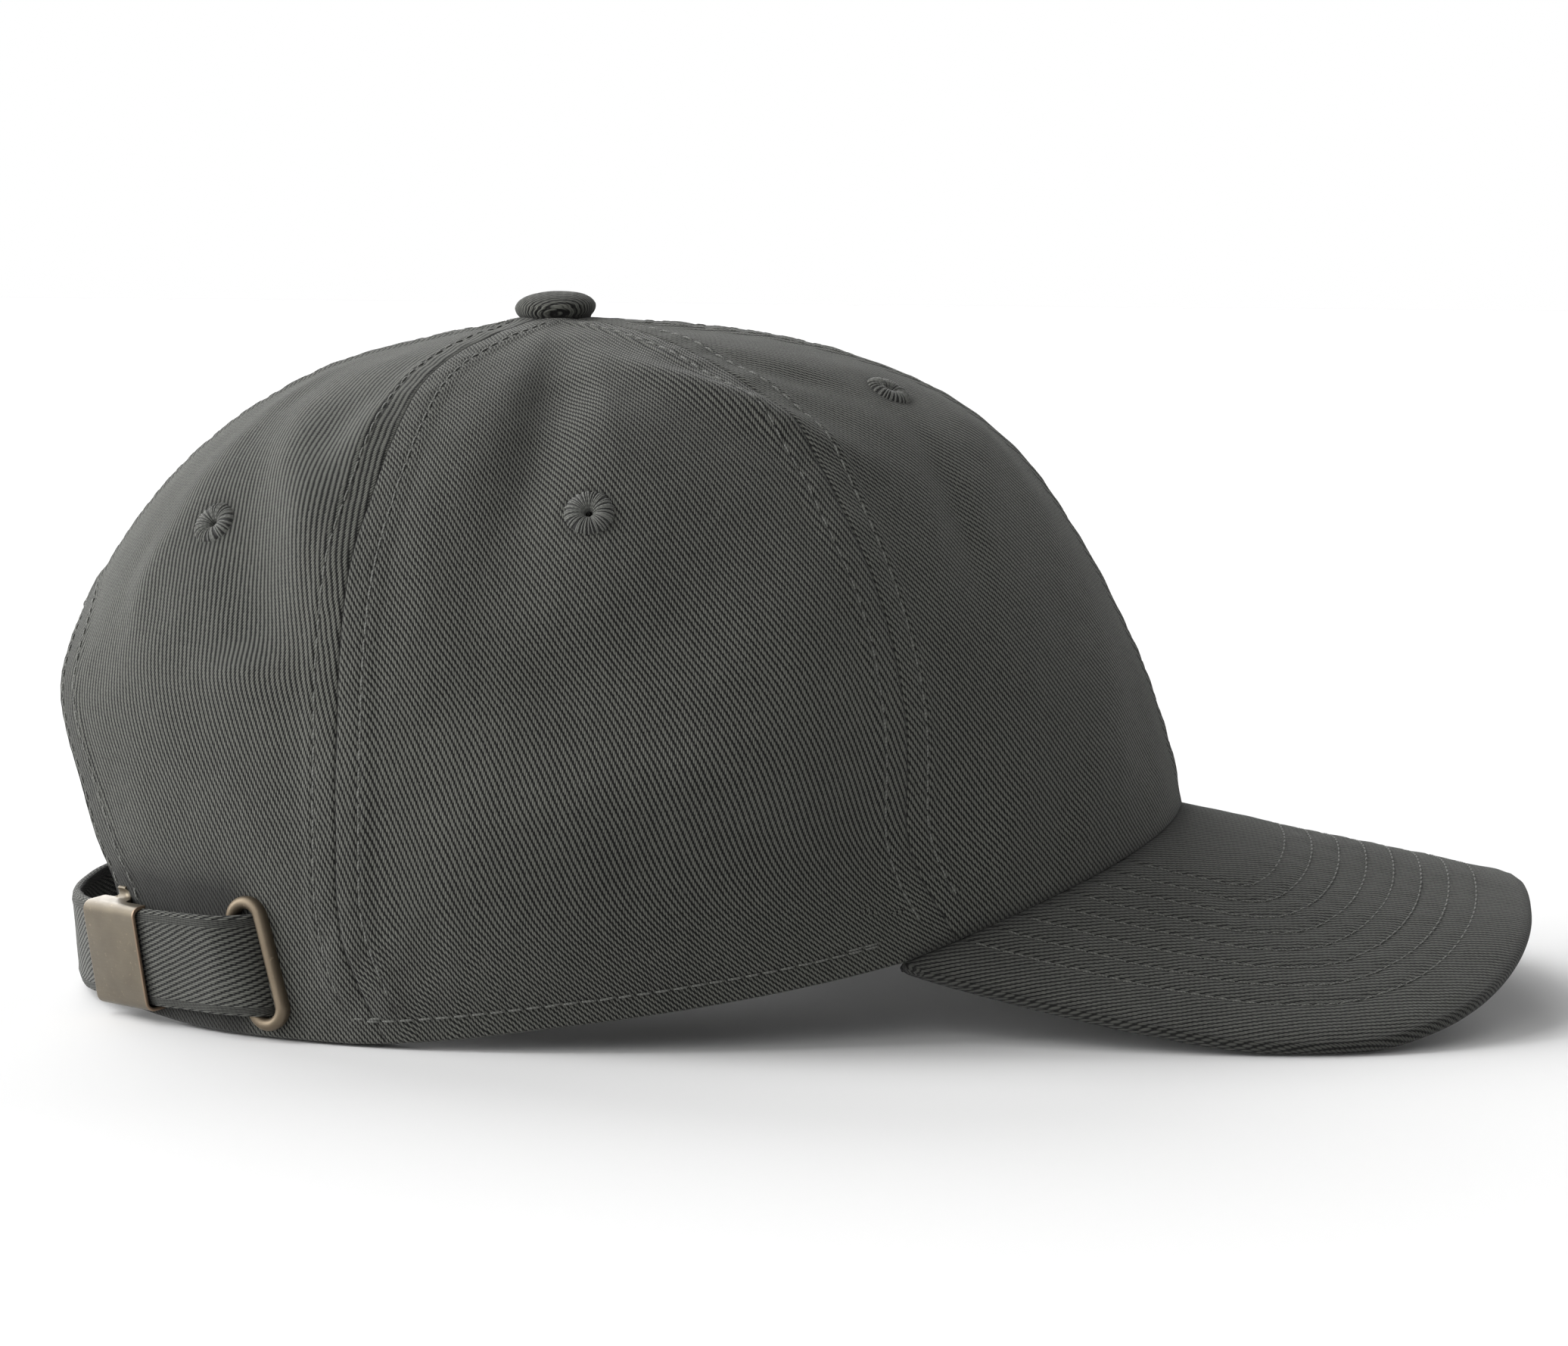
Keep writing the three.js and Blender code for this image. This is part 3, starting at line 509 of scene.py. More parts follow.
def stitch_piece(name, rows, pitch, thickness=1.0):
    ends = [sewn(line, normals, pitch) for line, normals in rows]
    starts, stops, normals = (np.concatenate(part) for part in zip(*ends))
    piece = new_piece(name, *thread_mesh(starts, stops, normals, thickness))
    dress(piece, "thread", "thread")
    return piece


# Shader maths


class Wire:
    """A node's output, with the arithmetic of Math nodes."""

    def __init__(self, tree, socket):
        self.tree = tree
        self.socket = socket

    def output(self, key):
        """Another output of the same node."""
        return Wire(self.tree, self.socket.node.outputs[key])

    def __add__(self, other):
        return self.tree.math("ADD", self, other)

    def __radd__(self, other):
        return self.tree.math("ADD", other, self)

    def __sub__(self, other):
        return self.tree.math("SUBTRACT", self, other)

    def __rsub__(self, other):
        return self.tree.math("SUBTRACT", other, self)

    def __mul__(self, other):
        return self.tree.math("MULTIPLY", self, other)

    def __rmul__(self, other):
        return self.tree.math("MULTIPLY", other, self)

    def __pow__(self, other):
        return self.tree.math("POWER", self, other)


class Tree:
    """The node tree of a new material."""

    def __init__(self, name):
        self.material = bpy.data.materials.new(name)
        self.material.use_nodes = True
        self.nodes = self.material.node_tree.nodes
        self.links = self.material.node_tree.links
        self.shader = self.nodes["Principled BSDF"]

    def add(self, kind, settings=None, inputs=None, output=0):
        """A node of a kind, with its settings and then the values or links of its sockets."""
        node = self.nodes.new(kind)
        for key, value in (settings or {}).items():
            setattr(node, key, value)
        self.feed(node, inputs or {})
        return Wire(self, node.outputs[output])

    def feed(self, node, inputs):
        for key, value in inputs.items():
            if isinstance(value, Wire):
                self.links.new(value.socket, node.inputs[key])
            else:
                node.inputs[key].default_value = value

    def math(self, operation, *values):
        return self.add("ShaderNodeMath", {"operation": operation}, dict(enumerate(values)))

    def wave(self, phase):
        """From -1 to 1, once for each unit of phase."""
        return self.math("COSINE", phase * TAU)

    def noise(self, where, scale, detail):
        return self.add("ShaderNodeTexNoise", {}, {"Vector": where, "Scale": scale, "Detail": detail})

    def ramp(self, value, low, high):
        return self.add("ShaderNodeMapRange", {}, {"Value": value, "From Min": low, "From Max": high})

    def mix(self, factor, one, two):
        return self.add("ShaderNodeMix", {"data_type": "RGBA"}, {0: factor, 6: one, 7: two}, 2)

    def bump(self, strength, distance, height):
        inputs = {"Strength": strength, "Distance": distance * MM, "Height": height}
        return self.add("ShaderNodeBump", {}, inputs)

    def place(self):
        return self.add("ShaderNodeTexCoord", output="Object")

    def mark(self, name):
        return self.add("ShaderNodeAttribute", {"attribute_name": name}, output="Fac")

    def cloth_map(self):
        """How far across the cloth map and how far up it."""
        cloth = self.add("ShaderNodeUVMap", {"uv_map": "cloth"})
        across = self.add("ShaderNodeSeparateXYZ", {}, {0: cloth})
        return across, across.output(1)


def shade(red, green, blue):
    return (red, green, blue, 1.0)


# how much of a wale's slope is in steps from yarn to yarn, and the yarns in a wale's width
STEPPING, YARNS = 0.85, 3


def twill(name, angle, dark, light, wale=0.87, depth=0.2):
    """Washed cotton twill. Its warp runs up the map, and angle is how far its wales turn from that."""
    tree = Tree(name)
    across, up = tree.cloth_map()
    where = tree.place()
    drift = tree.noise(where, 60.0, 2.0) - 0.5
    fine = tree.noise(where, 900.0, 2.0) - 0.5
    turn = math.radians(angle)
    yarn = wale / (YARNS * math.cos(turn))
    side = across + drift * 0.5
    strand = side * (1 / yarn)
    centre = tree.math("FLOOR", strand) * yarn + yarn / 2
    stepped = centre * STEPPING + side * (1 - STEPPING)
    phase = (stepped * math.cos(turn) + up * math.sin(turn)) * (1 / wale) + fine * 0.22
    furrow = (tree.wave(phase) * 0.5 + 0.5) ** 0.5
    round_yarn = 0.5 - tree.wave(strand) * 0.5
    twist = tree.noise(where, 1900.0, 1.0) - 0.5
    height = furrow * (round_yarn**0.7 * 0.4 + 0.6) + fine * 0.2 + twist * 0.2
    wash = tree.noise(where, 26.0, 4.0)
    lint = tree.ramp(tree.noise(where, 1500.0, 1.0), 0.64, 0.8)
    # The yarns' tops take the light colour and the low furrows between them the near-black one, which is
    # painted shade; the wash makes it lighter or darker at random
    tone = tree.ramp(height + wash * 0.24 - 0.12, 0.38, 0.8)
    base = tree.mix(tone, dark, light)
    base = tree.mix(lint * 0.2, base, shade(0.13, 0.13, 0.12))
    # Painted shade: near black in the creases, seams, stitch rows, joints and rims, and the strap's painted
    # shadow
    base = tree.mix(tree.mark("painted_shade"), base, shade(0.008, 0.008, 0.0075))
    inputs = {"Base Color": base, "Roughness": 0.95 - tone * 0.1, "Normal": tree.bump(1.0, depth, height)}
    tree.feed(tree.shader, {**inputs, "Specular IOR Level": 0.2, "Sheen Weight": 0.1, "Sheen Roughness": 0.6})
    return tree.material


def sewing_thread(name, dark, light):
    tree = Tree(name)
    along, around = tree.cloth_map()
    ply = tree.wave(along * 1.7 + around * (1 / TAU)) * 0.5 + 0.5
    wash = tree.noise(tree.place(), 60.0, 3.0)
    # Dark in the grooves between the plies, which is painted shade, and lighter or darker at random with the
    # wash
    base = tree.mix(ply * 0.7 + wash * 0.3, dark, light)
    inputs = {"Base Color": base, "Roughness": 0.7 + wash * 0.15, "Normal": tree.bump(0.8, 0.05, ply)}
    tree.feed(tree.shader, {**inputs, "Sheen Weight": 0.2})
    return tree.material


def antique_brass(name, low, high, roughness):
    tree = Tree(name)
    where = tree.place()
    cloud = tree.noise(where, 160.0, 4.0)
    speck = tree.ramp(tree.noise(where, 1400.0, 2.0), 0.66, 0.74)
    worn = tree.mark("worn")
    base = tree.mix(tree.ramp(cloud, 0.3, 0.7), low, high)
    base = tree.mix(speck * 0.35, base, shade(0.4, 0.31, 0.22))
    base = tree.mix(worn, base, shade(0.34, 0.235, 0.165))
    streaks = tree.add("ShaderNodeMapping", {}, {"Vector": where, "Scale": (1.0, 1.0, 9.0)})
    brushed = tree.noise(streaks, 420.0, 2.0)
    bump = tree.bump(0.25, 0.03, brushed + cloud * 0.6)
    rough = roughness + brushed * 0.16 - worn * 0.06
    tree.feed(tree.shader, {"Base Color": base, "Metallic": 0.92, "Roughness": rough, "Normal": bump})
    return tree.material


# The near-black colour is painted shade in the twill's furrows; the other is the yarns' own colour
FURROW_SHADE, WALE = shade(0.002, 0.0021, 0.0018), shade(0.122, 0.1245, 0.109)
finish = {
    "crown": twill("crown_twill", 28, FURROW_SHADE, WALE),
    "peak": twill("peak_twill", -18, FURROW_SHADE, shade(0.104, 0.106, 0.094), 0.8),
    "strap": twill("strap_twill", -20, FURROW_SHADE, shade(0.114, 0.1165, 0.102), 0.86, 0.24),
    "button": twill("button_twill", -8, FURROW_SHADE, WALE, 0.7, 0.24),
    "thread": sewing_thread("sewing_thread", shade(0.052, 0.0532, 0.0475), shade(0.145, 0.148, 0.133)),
    # Near black: painted shade where the eyelets' padding shows between their threads and in their holes
    "padding": sewing_thread("eyelet_padding_shade", shade(0.006, 0.006, 0.0055), shade(0.012, 0.012, 0.011)),
    "brass": antique_brass("antique_brass", shade(0.14, 0.12, 0.09), shade(0.175, 0.15, 0.112), 0.36),
    # The slot ring's own copy of the antique brass: lighter, redder and rougher than the buckle's
    "ring_brass": antique_brass(
        "ring_antique_brass", shade(0.165, 0.133, 0.095), shade(0.205, 0.166, 0.12), 0.46
    ),
}


# The camera and the studio


def add_camera():
    data = bpy.data.cameras.new("camera")
    data.sensor_width = SENSOR
    data.lens = CAMERA_LENS
    camera = bpy.data.objects.new("camera", data)
    bpy.context.scene.collection.objects.link(camera)
    pitch = Matrix.Rotation(math.radians(90 - CAMERA_PITCH), 4, "X")
    roll = Matrix.Rotation(math.radians(CAMERA_ROLL), 4, "Z")
    camera.matrix_world = Matrix.Translation(Vector(CAMERA_PLACE) * MM) @ pitch @ roll
    bpy.context.scene.camera = camera


def add_sun(name, azimuth, elevation, strength, softness):
    """Even light from a direction in degrees, seen from the hat."""
    data = bpy.data.lights.new(name, "SUN")
    data.energy = strength
    data.angle = math.radians(softness)
    sun = bpy.data.objects.new(name, data)
    turn, rise = math.radians(azimuth), math.radians(elevation)
    towards = Vector((math.cos(turn) * math.cos(rise), math.sin(turn) * math.cos(rise), math.sin(rise)))
    sun.rotation_euler = towards.to_track_quat("Z", "Y").to_euler()
    bpy.context.scene.collection.objects.link(sun)


def add_world():
    """Weak light from all round, in front of a white backdrop."""
    world = bpy.data.worlds.new("studio")
    world.use_nodes = True
    nodes, links = world.node_tree.nodes, world.node_tree.links
    fill, backdrop = nodes["Background"], nodes.new("ShaderNodeBackground")
    for node in (fill, backdrop):
        node.inputs["Color"].default_value = shade(1, 1, 1)
    fill.inputs["Strength"].default_value = FILL
    mix = nodes.new("ShaderNodeMixShader")
    links.new(nodes.new("ShaderNodeLightPath").outputs["Is Camera Ray"], mix.inputs[0])
    links.new(fill.outputs[0], mix.inputs[1])
    links.new(backdrop.outputs[0], mix.inputs[2])
    links.new(mix.outputs[0], nodes["World Output"].inputs["Surface"])
    bpy.context.scene.world = world


def primitive(add, name, **settings):
    """One of Blender's own shapes, added with nothing else selected."""
    bpy.ops.object.select_all(action="DESELECT")
    add(**settings)
    piece = bpy.context.object
    piece.name = name
    return piece


def add_floor():
    size, place = FLOOR_SIZE * MM, (0, 0, FLOOR_Z * MM)
    floor = primitive(bpy.ops.mesh.primitive_plane_add, "floor", size=size, location=place)
    tree = Tree("pale_floor")
    inputs = {"Base Color": shade(PALE, PALE, PALE), "Roughness": 0.9, "Specular IOR Level": 0.1}
    tree.feed(tree.shader, inputs)
    floor.data.materials.append(tree.material)


add_camera()
add_world()
add_floor()
for sun_name, sun in SUNS.items():
    add_sun(sun_name, *sun)
bpy.context.scene.view_settings.view_transform = "Standard"


# Seams and rows of stitches on the crown


def mirrored(azimuth, left):
    return 360 - azimuth if left else azimuth


def sided(kind, left):
    return f"{kind}_{'left' if left else 'right'}"


def seam_azimuth(seam, drop, left):
    """The azimuth of a seam: front or back beside the side panel, or the middle one at the front or rear."""
    drop = np.asarray(drop, float)
    if seam == "middle":
        return np.full(drop.shape, 360.0 if left else 0.0)
    if seam == "rear":
        return np.full(drop.shape, 180.0)
    column = FRONT_SEAM if seam == "front" else BACK_SEAM
    return mirrored(level_at(drop)[..., column], left)


def arch_places(out):
    """Azimuth and drop of the arched opening's edge at the wearer's right, or of a line out of it."""
    count = 160
    turn = np.linspace(0.5, 0, count) * math.pi
    across = OPENING_HALF * np.abs(np.cos(turn)) ** (2 / OPENING_POWER)
    height = OPENING_RISE * np.abs(np.sin(turn)) ** (2 / OPENING_POWER)
    curve = stacked(across, height)
    ways = np.gradient(curve, axis=0)
    normal = unit(stacked(-ways[:, 1], ways[:, 0]))
    normal[0], normal[-1] = (0, 1), (1, 0)
    curve = curve + normal * out
    azimuth, drop = np.full(count, 160.0), np.full(count, 0.8)
    for _ in range(12):
        side = level_at(drop)[:, SIDE]
        azimuth = 180 - np.degrees(np.arcsin(np.clip(curve[:, 0] / side, -1, 1)))
        hem = hem_height(azimuth)
        drop = drop_at_lift(np.clip((curve[:, 1] - hem) / (CROWN_TOP - hem), 0, 1))
    return azimuth, drop


ARCH_AZIMUTH, ARCH_DROP = arch_places(0)
ARCH_TOP_DROP = ARCH_DROP[0]


def row_beside(seam, side, left):
    """Azimuths and drops of a row of stitches beside a seam, at its greater azimuth if side is 1."""
    last = ARCH_TOP_DROP - 0.045 if seam == "rear" else 0.965
    drop = np.linspace(0.055, last, 420)
    azimuth = seam_azimuth(seam, drop, left)
    point = crown_base(azimuth, drop)
    over_turn = np.linalg.norm(crown_base(azimuth + 0.5, drop) - crown_base(azimuth - 0.5, drop), axis=-1)
    ways = unit(np.gradient(point, axis=0))
    around = unit(crown_base(azimuth + 0.5, drop) - crown_base(azimuth - 0.5, drop))
    slant = np.sqrt(np.maximum(1 - (ways * around).sum(-1) ** 2, 0.05))
    return azimuth + side * SEAM_ROW / slant / over_turn, drop


def hem_row(first, last, height=HEM_ROW):
    azimuth = np.linspace(first, last, 500)
    return azimuth, drop_above_hem(azimuth, height)


def seam_places(seam, left):
    drop = np.linspace(TIP_DROP, ARCH_TOP_DROP if seam == "rear" else 1, 500)
    return seam_azimuth(seam, drop, left), drop


PANELS = {"front": ("middle", "front"), "side": ("front", "back"), "back": ("back", "rear")}


class Panel:
    """One gore of the crown, with the seams and the rows of stitches on it."""

    def __init__(self, kind, left):
        self.kind = kind
        self.left = left
        self.name = sided(kind, left)
        first, last = PANELS[kind]
        self.edges = (last, first) if left else (first, last)
        self.seams = [crown_base(*seam_places(seam, left)) for seam in self.edges]
        hand = -1 if left else 1
        rows = [row_beside(first, hand, left), row_beside(last, -hand, left)]
        if kind == "side":
            first, last = sorted(mirrored(end, left) for end in HEM_ROW_ENDS)
            rows.append(hem_row(first, last))
            rows.append(hem_row(first, first + BACKTACK, HEM_ROW + BACKTACK_RISE))
            rows.append(hem_row(last - BACKTACK, last, HEM_ROW + BACKTACK_RISE))
        if kind == "back":
            for out in ARCH_ROWS:
                azimuth, drop = arch_places(out)
                rows.append((mirrored(azimuth, left), np.minimum(drop, 0.985)))
        self.rows = rows
        self.lines = [crown_base(*row) for row in rows]
        eyelet, level = EYELETS[kind]
        self.eyelet = (mirrored(eyelet, left), level)
        self.arch = crown_base(mirrored(ARCH_AZIMUTH, left), ARCH_DROP)

    def relief(self, azimuth, drop):
        """How far the outer face stands out of the crown, and how dark the painted shade on it is."""
        azimuth, drop = np.asarray(azimuth, float), np.asarray(drop, float)
        shape = azimuth.shape
        azimuth, drop = azimuth.ravel(), drop.ravel()
        base = crown_base(azimuth, drop)
        rise = fold_rise(FOLDS, azimuth, drop) + fold_rise(CREASES, azimuth, drop) - PANEL_SINK
        rise += SWELL_RISE * unevenness(base, SWELL) + RIPPLE_RISE * unevenness(base, RIPPLE)
        dark = np.zeros(len(base))
        for line in self.seams:
            far, run = nearest(base, line)
            pucker = PUCKER_RISE * np.sin(run * TAU / PUCKER_PITCH + np.sin(run / 5.0))
            rise += ALLOWANCE_RISE * smooth((ALLOWANCE_WIDE - far) / 1.3) - SEAM_DEPTH * bell(far, SEAM_WIDE)
            rise += pucker * bell(far - PUCKER_OUT, PUCKER_WIDE)
            # Painted shade along the seam line
            dark = np.maximum(dark, SEAM_SHADE * bell(far, 0.17))
        for line in self.lines:
            far, run = nearest(base, line)
            rise -= ROW_DEPTH * bell(far, ROW_WIDE)
            rise += ROW_PUCKER * np.cos(run * TAU / STITCH) * bell(far, ROW_PUCKER_WIDE)
            # Painted shade along each row of stitches, where the cloth dips
            dark = np.maximum(dark, ROW_SHADE * bell(far, 0.45))
        if self.kind == "back":
            # Painted shadow of the strap on the right back panel, full below the strap's top and fading above
            # it
            above = np.maximum(base[:, 2] - STRAP_TOP, 0)
            beside = smooth((azimuth - STRAP_SHADE_FROM) / 6) * (not self.left)
            dark = np.maximum(dark, STRAP_SHADE * np.exp(-above / 3.0) * beside)
            far, _ = nearest(base, self.arch)
            rise += ARCH_HEM_RISE * smooth((ARCH_HEM_WIDE - far) / 1.2)
            # Painted shade on the hem band along the arch's edge
            dark = np.maximum(dark, ARCH_SHADE * smooth((7.0 - far) / 3.0))
        far = np.linalg.norm(base - crown_base(*self.eyelet), axis=-1)
        rise -= EYELET_DENT * bell(far, EYELET_DENT_WIDE)
        # Painted shade in a ring round the eyelet
        dark = np.maximum(dark, EYELET_SHADE * bell(far - EYELET_RADIUS, 0.6))
        above = base[:, 2] - hem_height(azimuth)
        rise += HEM_RISE * smooth((HEM_WIDE - above) / 1.5)
        fore = np.abs((azimuth + 180) % 360 - 180) < PEAK_AZIMUTH
        # Painted shade where the crown meets the peak
        dark = np.maximum(dark, JOINT_SHADE * bell(above, 1.6) * fore)
        rise *= smooth(drop / 0.07) * (1 - 0.75 * np.clip((drop - HEM_FLAT) / (1 - HEM_FLAT), 0, 1))
        return rise.reshape(shape), dark.reshape(shape)

    def rim_bulge(self, outer):
        """How round the sheet's rim is at each point: tight along a seam, and rolled at a hem."""
        loop = border_of(*outer.shape[:2])
        rim = outer[loop[:, 0], loop[:, 1]]
        far = np.min([nearest(rim, line)[0] for line in self.seams], axis=0)
        return np.where((far < 1.2) & (loop[:, 0] < len(outer) - 3), 0.2, 0.9)

    def surface(self, azimuth, drop):
        rise, dark = self.relief(azimuth, drop)
        normal = crown_normal(azimuth, drop)
        return crown_base(azimuth, drop) + normal * rise[..., None], normal, dark

    def cloth_map(self, azimuth, drop):
        """Millimetres across the panel's middle line and up it, as seen from outside."""
        first, last = (seam_azimuth(seam, drop, self.left) for seam in self.edges)
        middle = (first + last) / 2
        across = 0
        steps = 8
        for k in range(steps):
            at = middle + (azimuth - middle) * (k + 0.5) / steps
            stretch = np.linalg.norm(crown_base(at + 0.5, drop) - crown_base(at - 0.5, drop), axis=-1)
            across = across - stretch * (azimuth - middle) / steps
        levels = np.linspace(0, 1, 300)
        ends = [seam_azimuth(seam, levels, self.left) for seam in self.edges]
        run = lengths(crown_base((ends[0] + ends[1]) / 2, levels))
        return stacked(across, -np.interp(drop, levels, run))


EDGE_STEPS = np.array([0, 0.22, 0.5, 0.9, 1.6, 2.6, 3.3, 3.75, 4.2, 4.65, 5.2, 6.2])
HEM_STEPS = EDGE_STEPS[::-1]
ROLL = 0.55
PANEL_ROWS = 118
PANEL_COLUMNS = 56


def edge_places(panel, seam):
    """Azimuths and drops of a panel's edge, a pair for each row of its grid."""
    if seam == "rear":
        arch_azimuth, arch_drop = arch_places(ROLL)
        down = np.linspace(TIP_DROP, arch_drop[0], 300)
        azimuth = np.concatenate([np.full(300, 180.0), mirrored(arch_azimuth, panel.left)[1:]])
        drop = np.concatenate([down, arch_drop[1:]])
    else:
        drop = np.linspace(TIP_DROP, 1, 500)
        azimuth = seam_azimuth(seam, drop, panel.left)
    run = lengths(crown_base(azimuth, drop))
    places = run[-1] - ROLL - HEM_STEPS
    places = np.concatenate([np.linspace(0, places[0], PANEL_ROWS), places[1:]])
    return np.interp(places, run, azimuth), np.interp(places, run, drop)


def column_shares(width):
    """The places of a row's columns, close together beside both edges."""
    band = EDGE_STEPS[-1]
    scale = min(1.0, width / (2.6 * band))
    edge = EDGE_STEPS * scale
    middle = np.linspace(edge[-1], width - edge[-1], PANEL_COLUMNS + 2)[1:-1]
    return np.concatenate([edge, middle, width - edge[::-1]])


def panel_grid(panel):
    (az0, drop0), (az1, drop1) = (edge_places(panel, seam) for seam in panel.edges)
    fine = np.linspace(0, 1, 80)
    azimuth = az0[:, None] + (az1 - az0)[:, None] * fine
    drop = drop0[:, None] + (drop1 - drop0)[:, None] * fine
    run = lengths(crown_base(azimuth, drop))
    shares = np.array([np.interp(column_shares(row[-1]), row, fine) for row in run])
    return az0[:, None] + (az1 - az0)[:, None] * shares, drop0[:, None] + (drop1 - drop0)[:, None] * shares


def add_panels():
    for kind in PANELS:
        for left in (False, True):
            panel = Panel(kind, left)
            azimuth, drop = panel_grid(panel)
            outer, normal, dark = panel.surface(azimuth, drop)
            cloth = panel.cloth_map(azimuth, drop)
            centres = (outer[1:, 1:] + outer[:-1, :-1]) / 2
            gone = np.linalg.norm(centres - panel.surface(*panel.eyelet)[0], axis=-1) < EYELET_CUT
            bulge = panel.rim_bulge(outer)
            piece = shell(f"cloth_{panel.name}", outer, -normal, CLOTH, cloth, dark, bulge, gone)
            dress(piece, "crown", "cloth", f"panel_{panel.name}")
            down, along = outer[1:, :-1] - outer[:-1, :-1], outer[:-1, 1:] - outer[:-1, :-1]
            rows = []
            for row in panel.rows:
                points, normals, _ = panel.surface(*(np.asarray(part, float) for part in row))
                rows.append((points + normals * 0.06, normals))
            stitches = stitch_piece(f"stitches_{panel.name}", rows, STITCH, 0.74)


add_panels()


# The peak


def peak_edge(place):
    angle = np.radians(np.abs(place) * PEAK_CORNER)
    ahead = np.cos(angle) > 0
    power = 2 / np.where(ahead, PEAK_FRONT_POWER, PEAK_REAR_POWER)
    reach = np.where(ahead, PEAK_TIP - PEAK_WIDEST, PEAK_REAR)
    x = PEAK_WIDEST + np.sign(np.cos(angle)) * reach * np.abs(np.cos(angle)) ** power
    return x, -np.sign(place) * PEAK_HALF * np.sin(angle) ** power


def peak_slopes(x, y):
    step = 0.4
    over_x = (peak_height(x + step, y) - peak_height(x - step, y)) / (2 * step)
    over_y = (peak_height(x, y + step) - peak_height(x, y - step)) / (2 * step)
    return over_x, over_y


def unrolled(x, y, samples=14):
    """A place in plan on the peak laid flat: along it, and across it over the arch."""
    across = 0
    for k in range(samples):
        across = across + np.sqrt(1 + peak_slopes(x, y * (k + 0.5) / samples)[1] ** 2) * y / samples
    return stacked(x * math.hypot(1, RIDGE_SLOPE), across)


def rolled(flat):
    """The place in plan of a point of the peak laid flat."""
    x = flat[..., 0] / math.hypot(1, RIDGE_SLOPE)
    y = flat[..., 1] * 0.85
    for _ in range(12):
        miss = flat[..., 1] - unrolled(x, y)[..., 1]
        y = y + miss / np.sqrt(1 + peak_slopes(x, y)[1] ** 2)
    return x, y


def peak_surface(x, y, rise):
    over_x, over_y = peak_slopes(x, y)
    normal = unit(stacked(-over_x, -over_y, np.ones_like(over_x)))
    point = stacked(x, y, peak_height(x, y))
    return point + normal * rise[..., None], normal


EDGE_PLACES = np.linspace(-1, 1, 1400)
EDGE_FLAT = unrolled(*peak_edge(EDGE_PLACES))


def edge_distance(x, y):
    flat = unrolled(x, y)
    far, run = nearest(flat.reshape(-1, 2), EDGE_FLAT)
    return far.reshape(x.shape), run.reshape(x.shape)


def peak_relief(x, y):
    far, run = edge_distance(x, y)
    point = stacked(x, y, peak_height(x, y))
    rise = PEAK_SWELL * unevenness(point, SWELL) + RIPPLE_RISE * unevenness(point, RIPPLE)
    dark = np.zeros(x.shape)
    for k, row in enumerate(PEAK_ROWS):
        rise = rise - PEAK_ROW_DEPTH * bell(far - row, PEAK_ROW_WIDE)
        swell = np.sin(run * TAU / PEAK_PUCKER_PITCH + k * 2.1) * PEAK_PUCKER
        rise = rise + swell * bell(far - row - PEAK_PUCKER_OUT, PEAK_PUCKER_WIDE)
        # Painted shade along each row of stitches
        dark = np.maximum(dark, PEAK_ROW_SHADE * bell(far - row, 0.45))
    rise = rise + PEAK_EDGE_FALL * smooth(far / PEAK_EDGE_WIDE) - PEAK_EDGE_FALL
    # Painted shade along the peak's rim
    dark = np.maximum(dark, RIM_SHADE * bell(far, 0.8))
    return rise, dark


def outside_crown(x, y, gap):
    front, back, side = LEVELS[-1][FRONT], LEVELS[-1][BACK], LEVELS[-1][SIDE]
    reach = np.where(x > CROWN_X, front - CROWN_X, CROWN_X - back)
    turn = np.arctan2(-y / side, (x - CROWN_X) / reach)
    edge_x, edge_y = outline(LEVELS[-1], np.degrees(turn), gap)
    return np.hypot(x - CROWN_X, y) > np.hypot(edge_x - CROWN_X, edge_y)


def peak_rows():
    ways = unit(np.gradient(EDGE_FLAT, axis=0))
    inward = stacked(-ways[:, 1], ways[:, 0])
    if inward[len(inward) // 2, 0] > 0:
        inward = -inward
    rows = []
    for row in PEAK_ROWS:
        flat = EDGE_FLAT + inward * row
        far, _ = nearest(flat, EDGE_FLAT)
        x, y = rolled(flat)
        keep = (far > row - 0.15) & outside_crown(x, y, 0.9)
        x, y = x[keep], y[keep]
        rise, _ = peak_relief(x, y)
        rows.append(peak_surface(x, y, rise))
    return rows


PEAK_COLUMNS, PEAK_STEPS, EDGE_ROUNDING = 300, 58, 14


def add_peak():
    place = np.linspace(-1, 1, PEAK_COLUMNS)[:, None]
    rounding = 0.9 + 0.1 * np.sin(np.linspace(0, 1, EDGE_ROUNDING + 1)[1:] * math.pi / 2)
    share = np.concatenate([np.linspace(-0.03, 0.9, PEAK_STEPS), rounding])
    root_x, root_y = outline(LEVELS[-1], place * PEAK_AZIMUTH, -0.5)
    edge_x, edge_y = peak_edge(place)
    x = root_x + (edge_x - root_x) * share
    y = root_y + (edge_y - root_y) * share
    rise, dark = peak_relief(x, y)
    # Painted shade where the peak meets the crown
    dark = np.maximum(dark, JOINT_SHADE * bell(np.hypot(x - root_x, y - root_y), 2.0))
    top, normal = peak_surface(x, y, rise - 0.1)
    lower = PEAK_THICKNESS - 0.3
    under = top - normal * lower
    under[..., 2] = np.maximum(under[..., 2], 0.05)
    inward = unit(under - top)
    thickness = np.linalg.norm(under - top, axis=-1, keepdims=True)
    flat = unrolled(x, y)
    cloth = stacked(flat[..., 1], flat[..., 0])
    piece = shell("cloth_peak", top, inward, thickness, cloth, dark, 0.8)
    dress(piece, "peak", "cloth", "peak")
    rows = peak_rows()
    above = [(points + normals * 0.02, normals) for points, normals in rows]
    stitch_piece("stitches_peak", above, PEAK_STITCH, 0.6)
    below = []
    for points, normals in rows:
        low = points - normals * (lower + 0.1)
        clear = low[:, 2] > 0.4
        below.append((low[clear], -normals[clear]))
    stitch_piece("stitches_peak_underside", below, PEAK_STITCH, 0.68)


add_peak()


# The strap, the sweatband and the tab


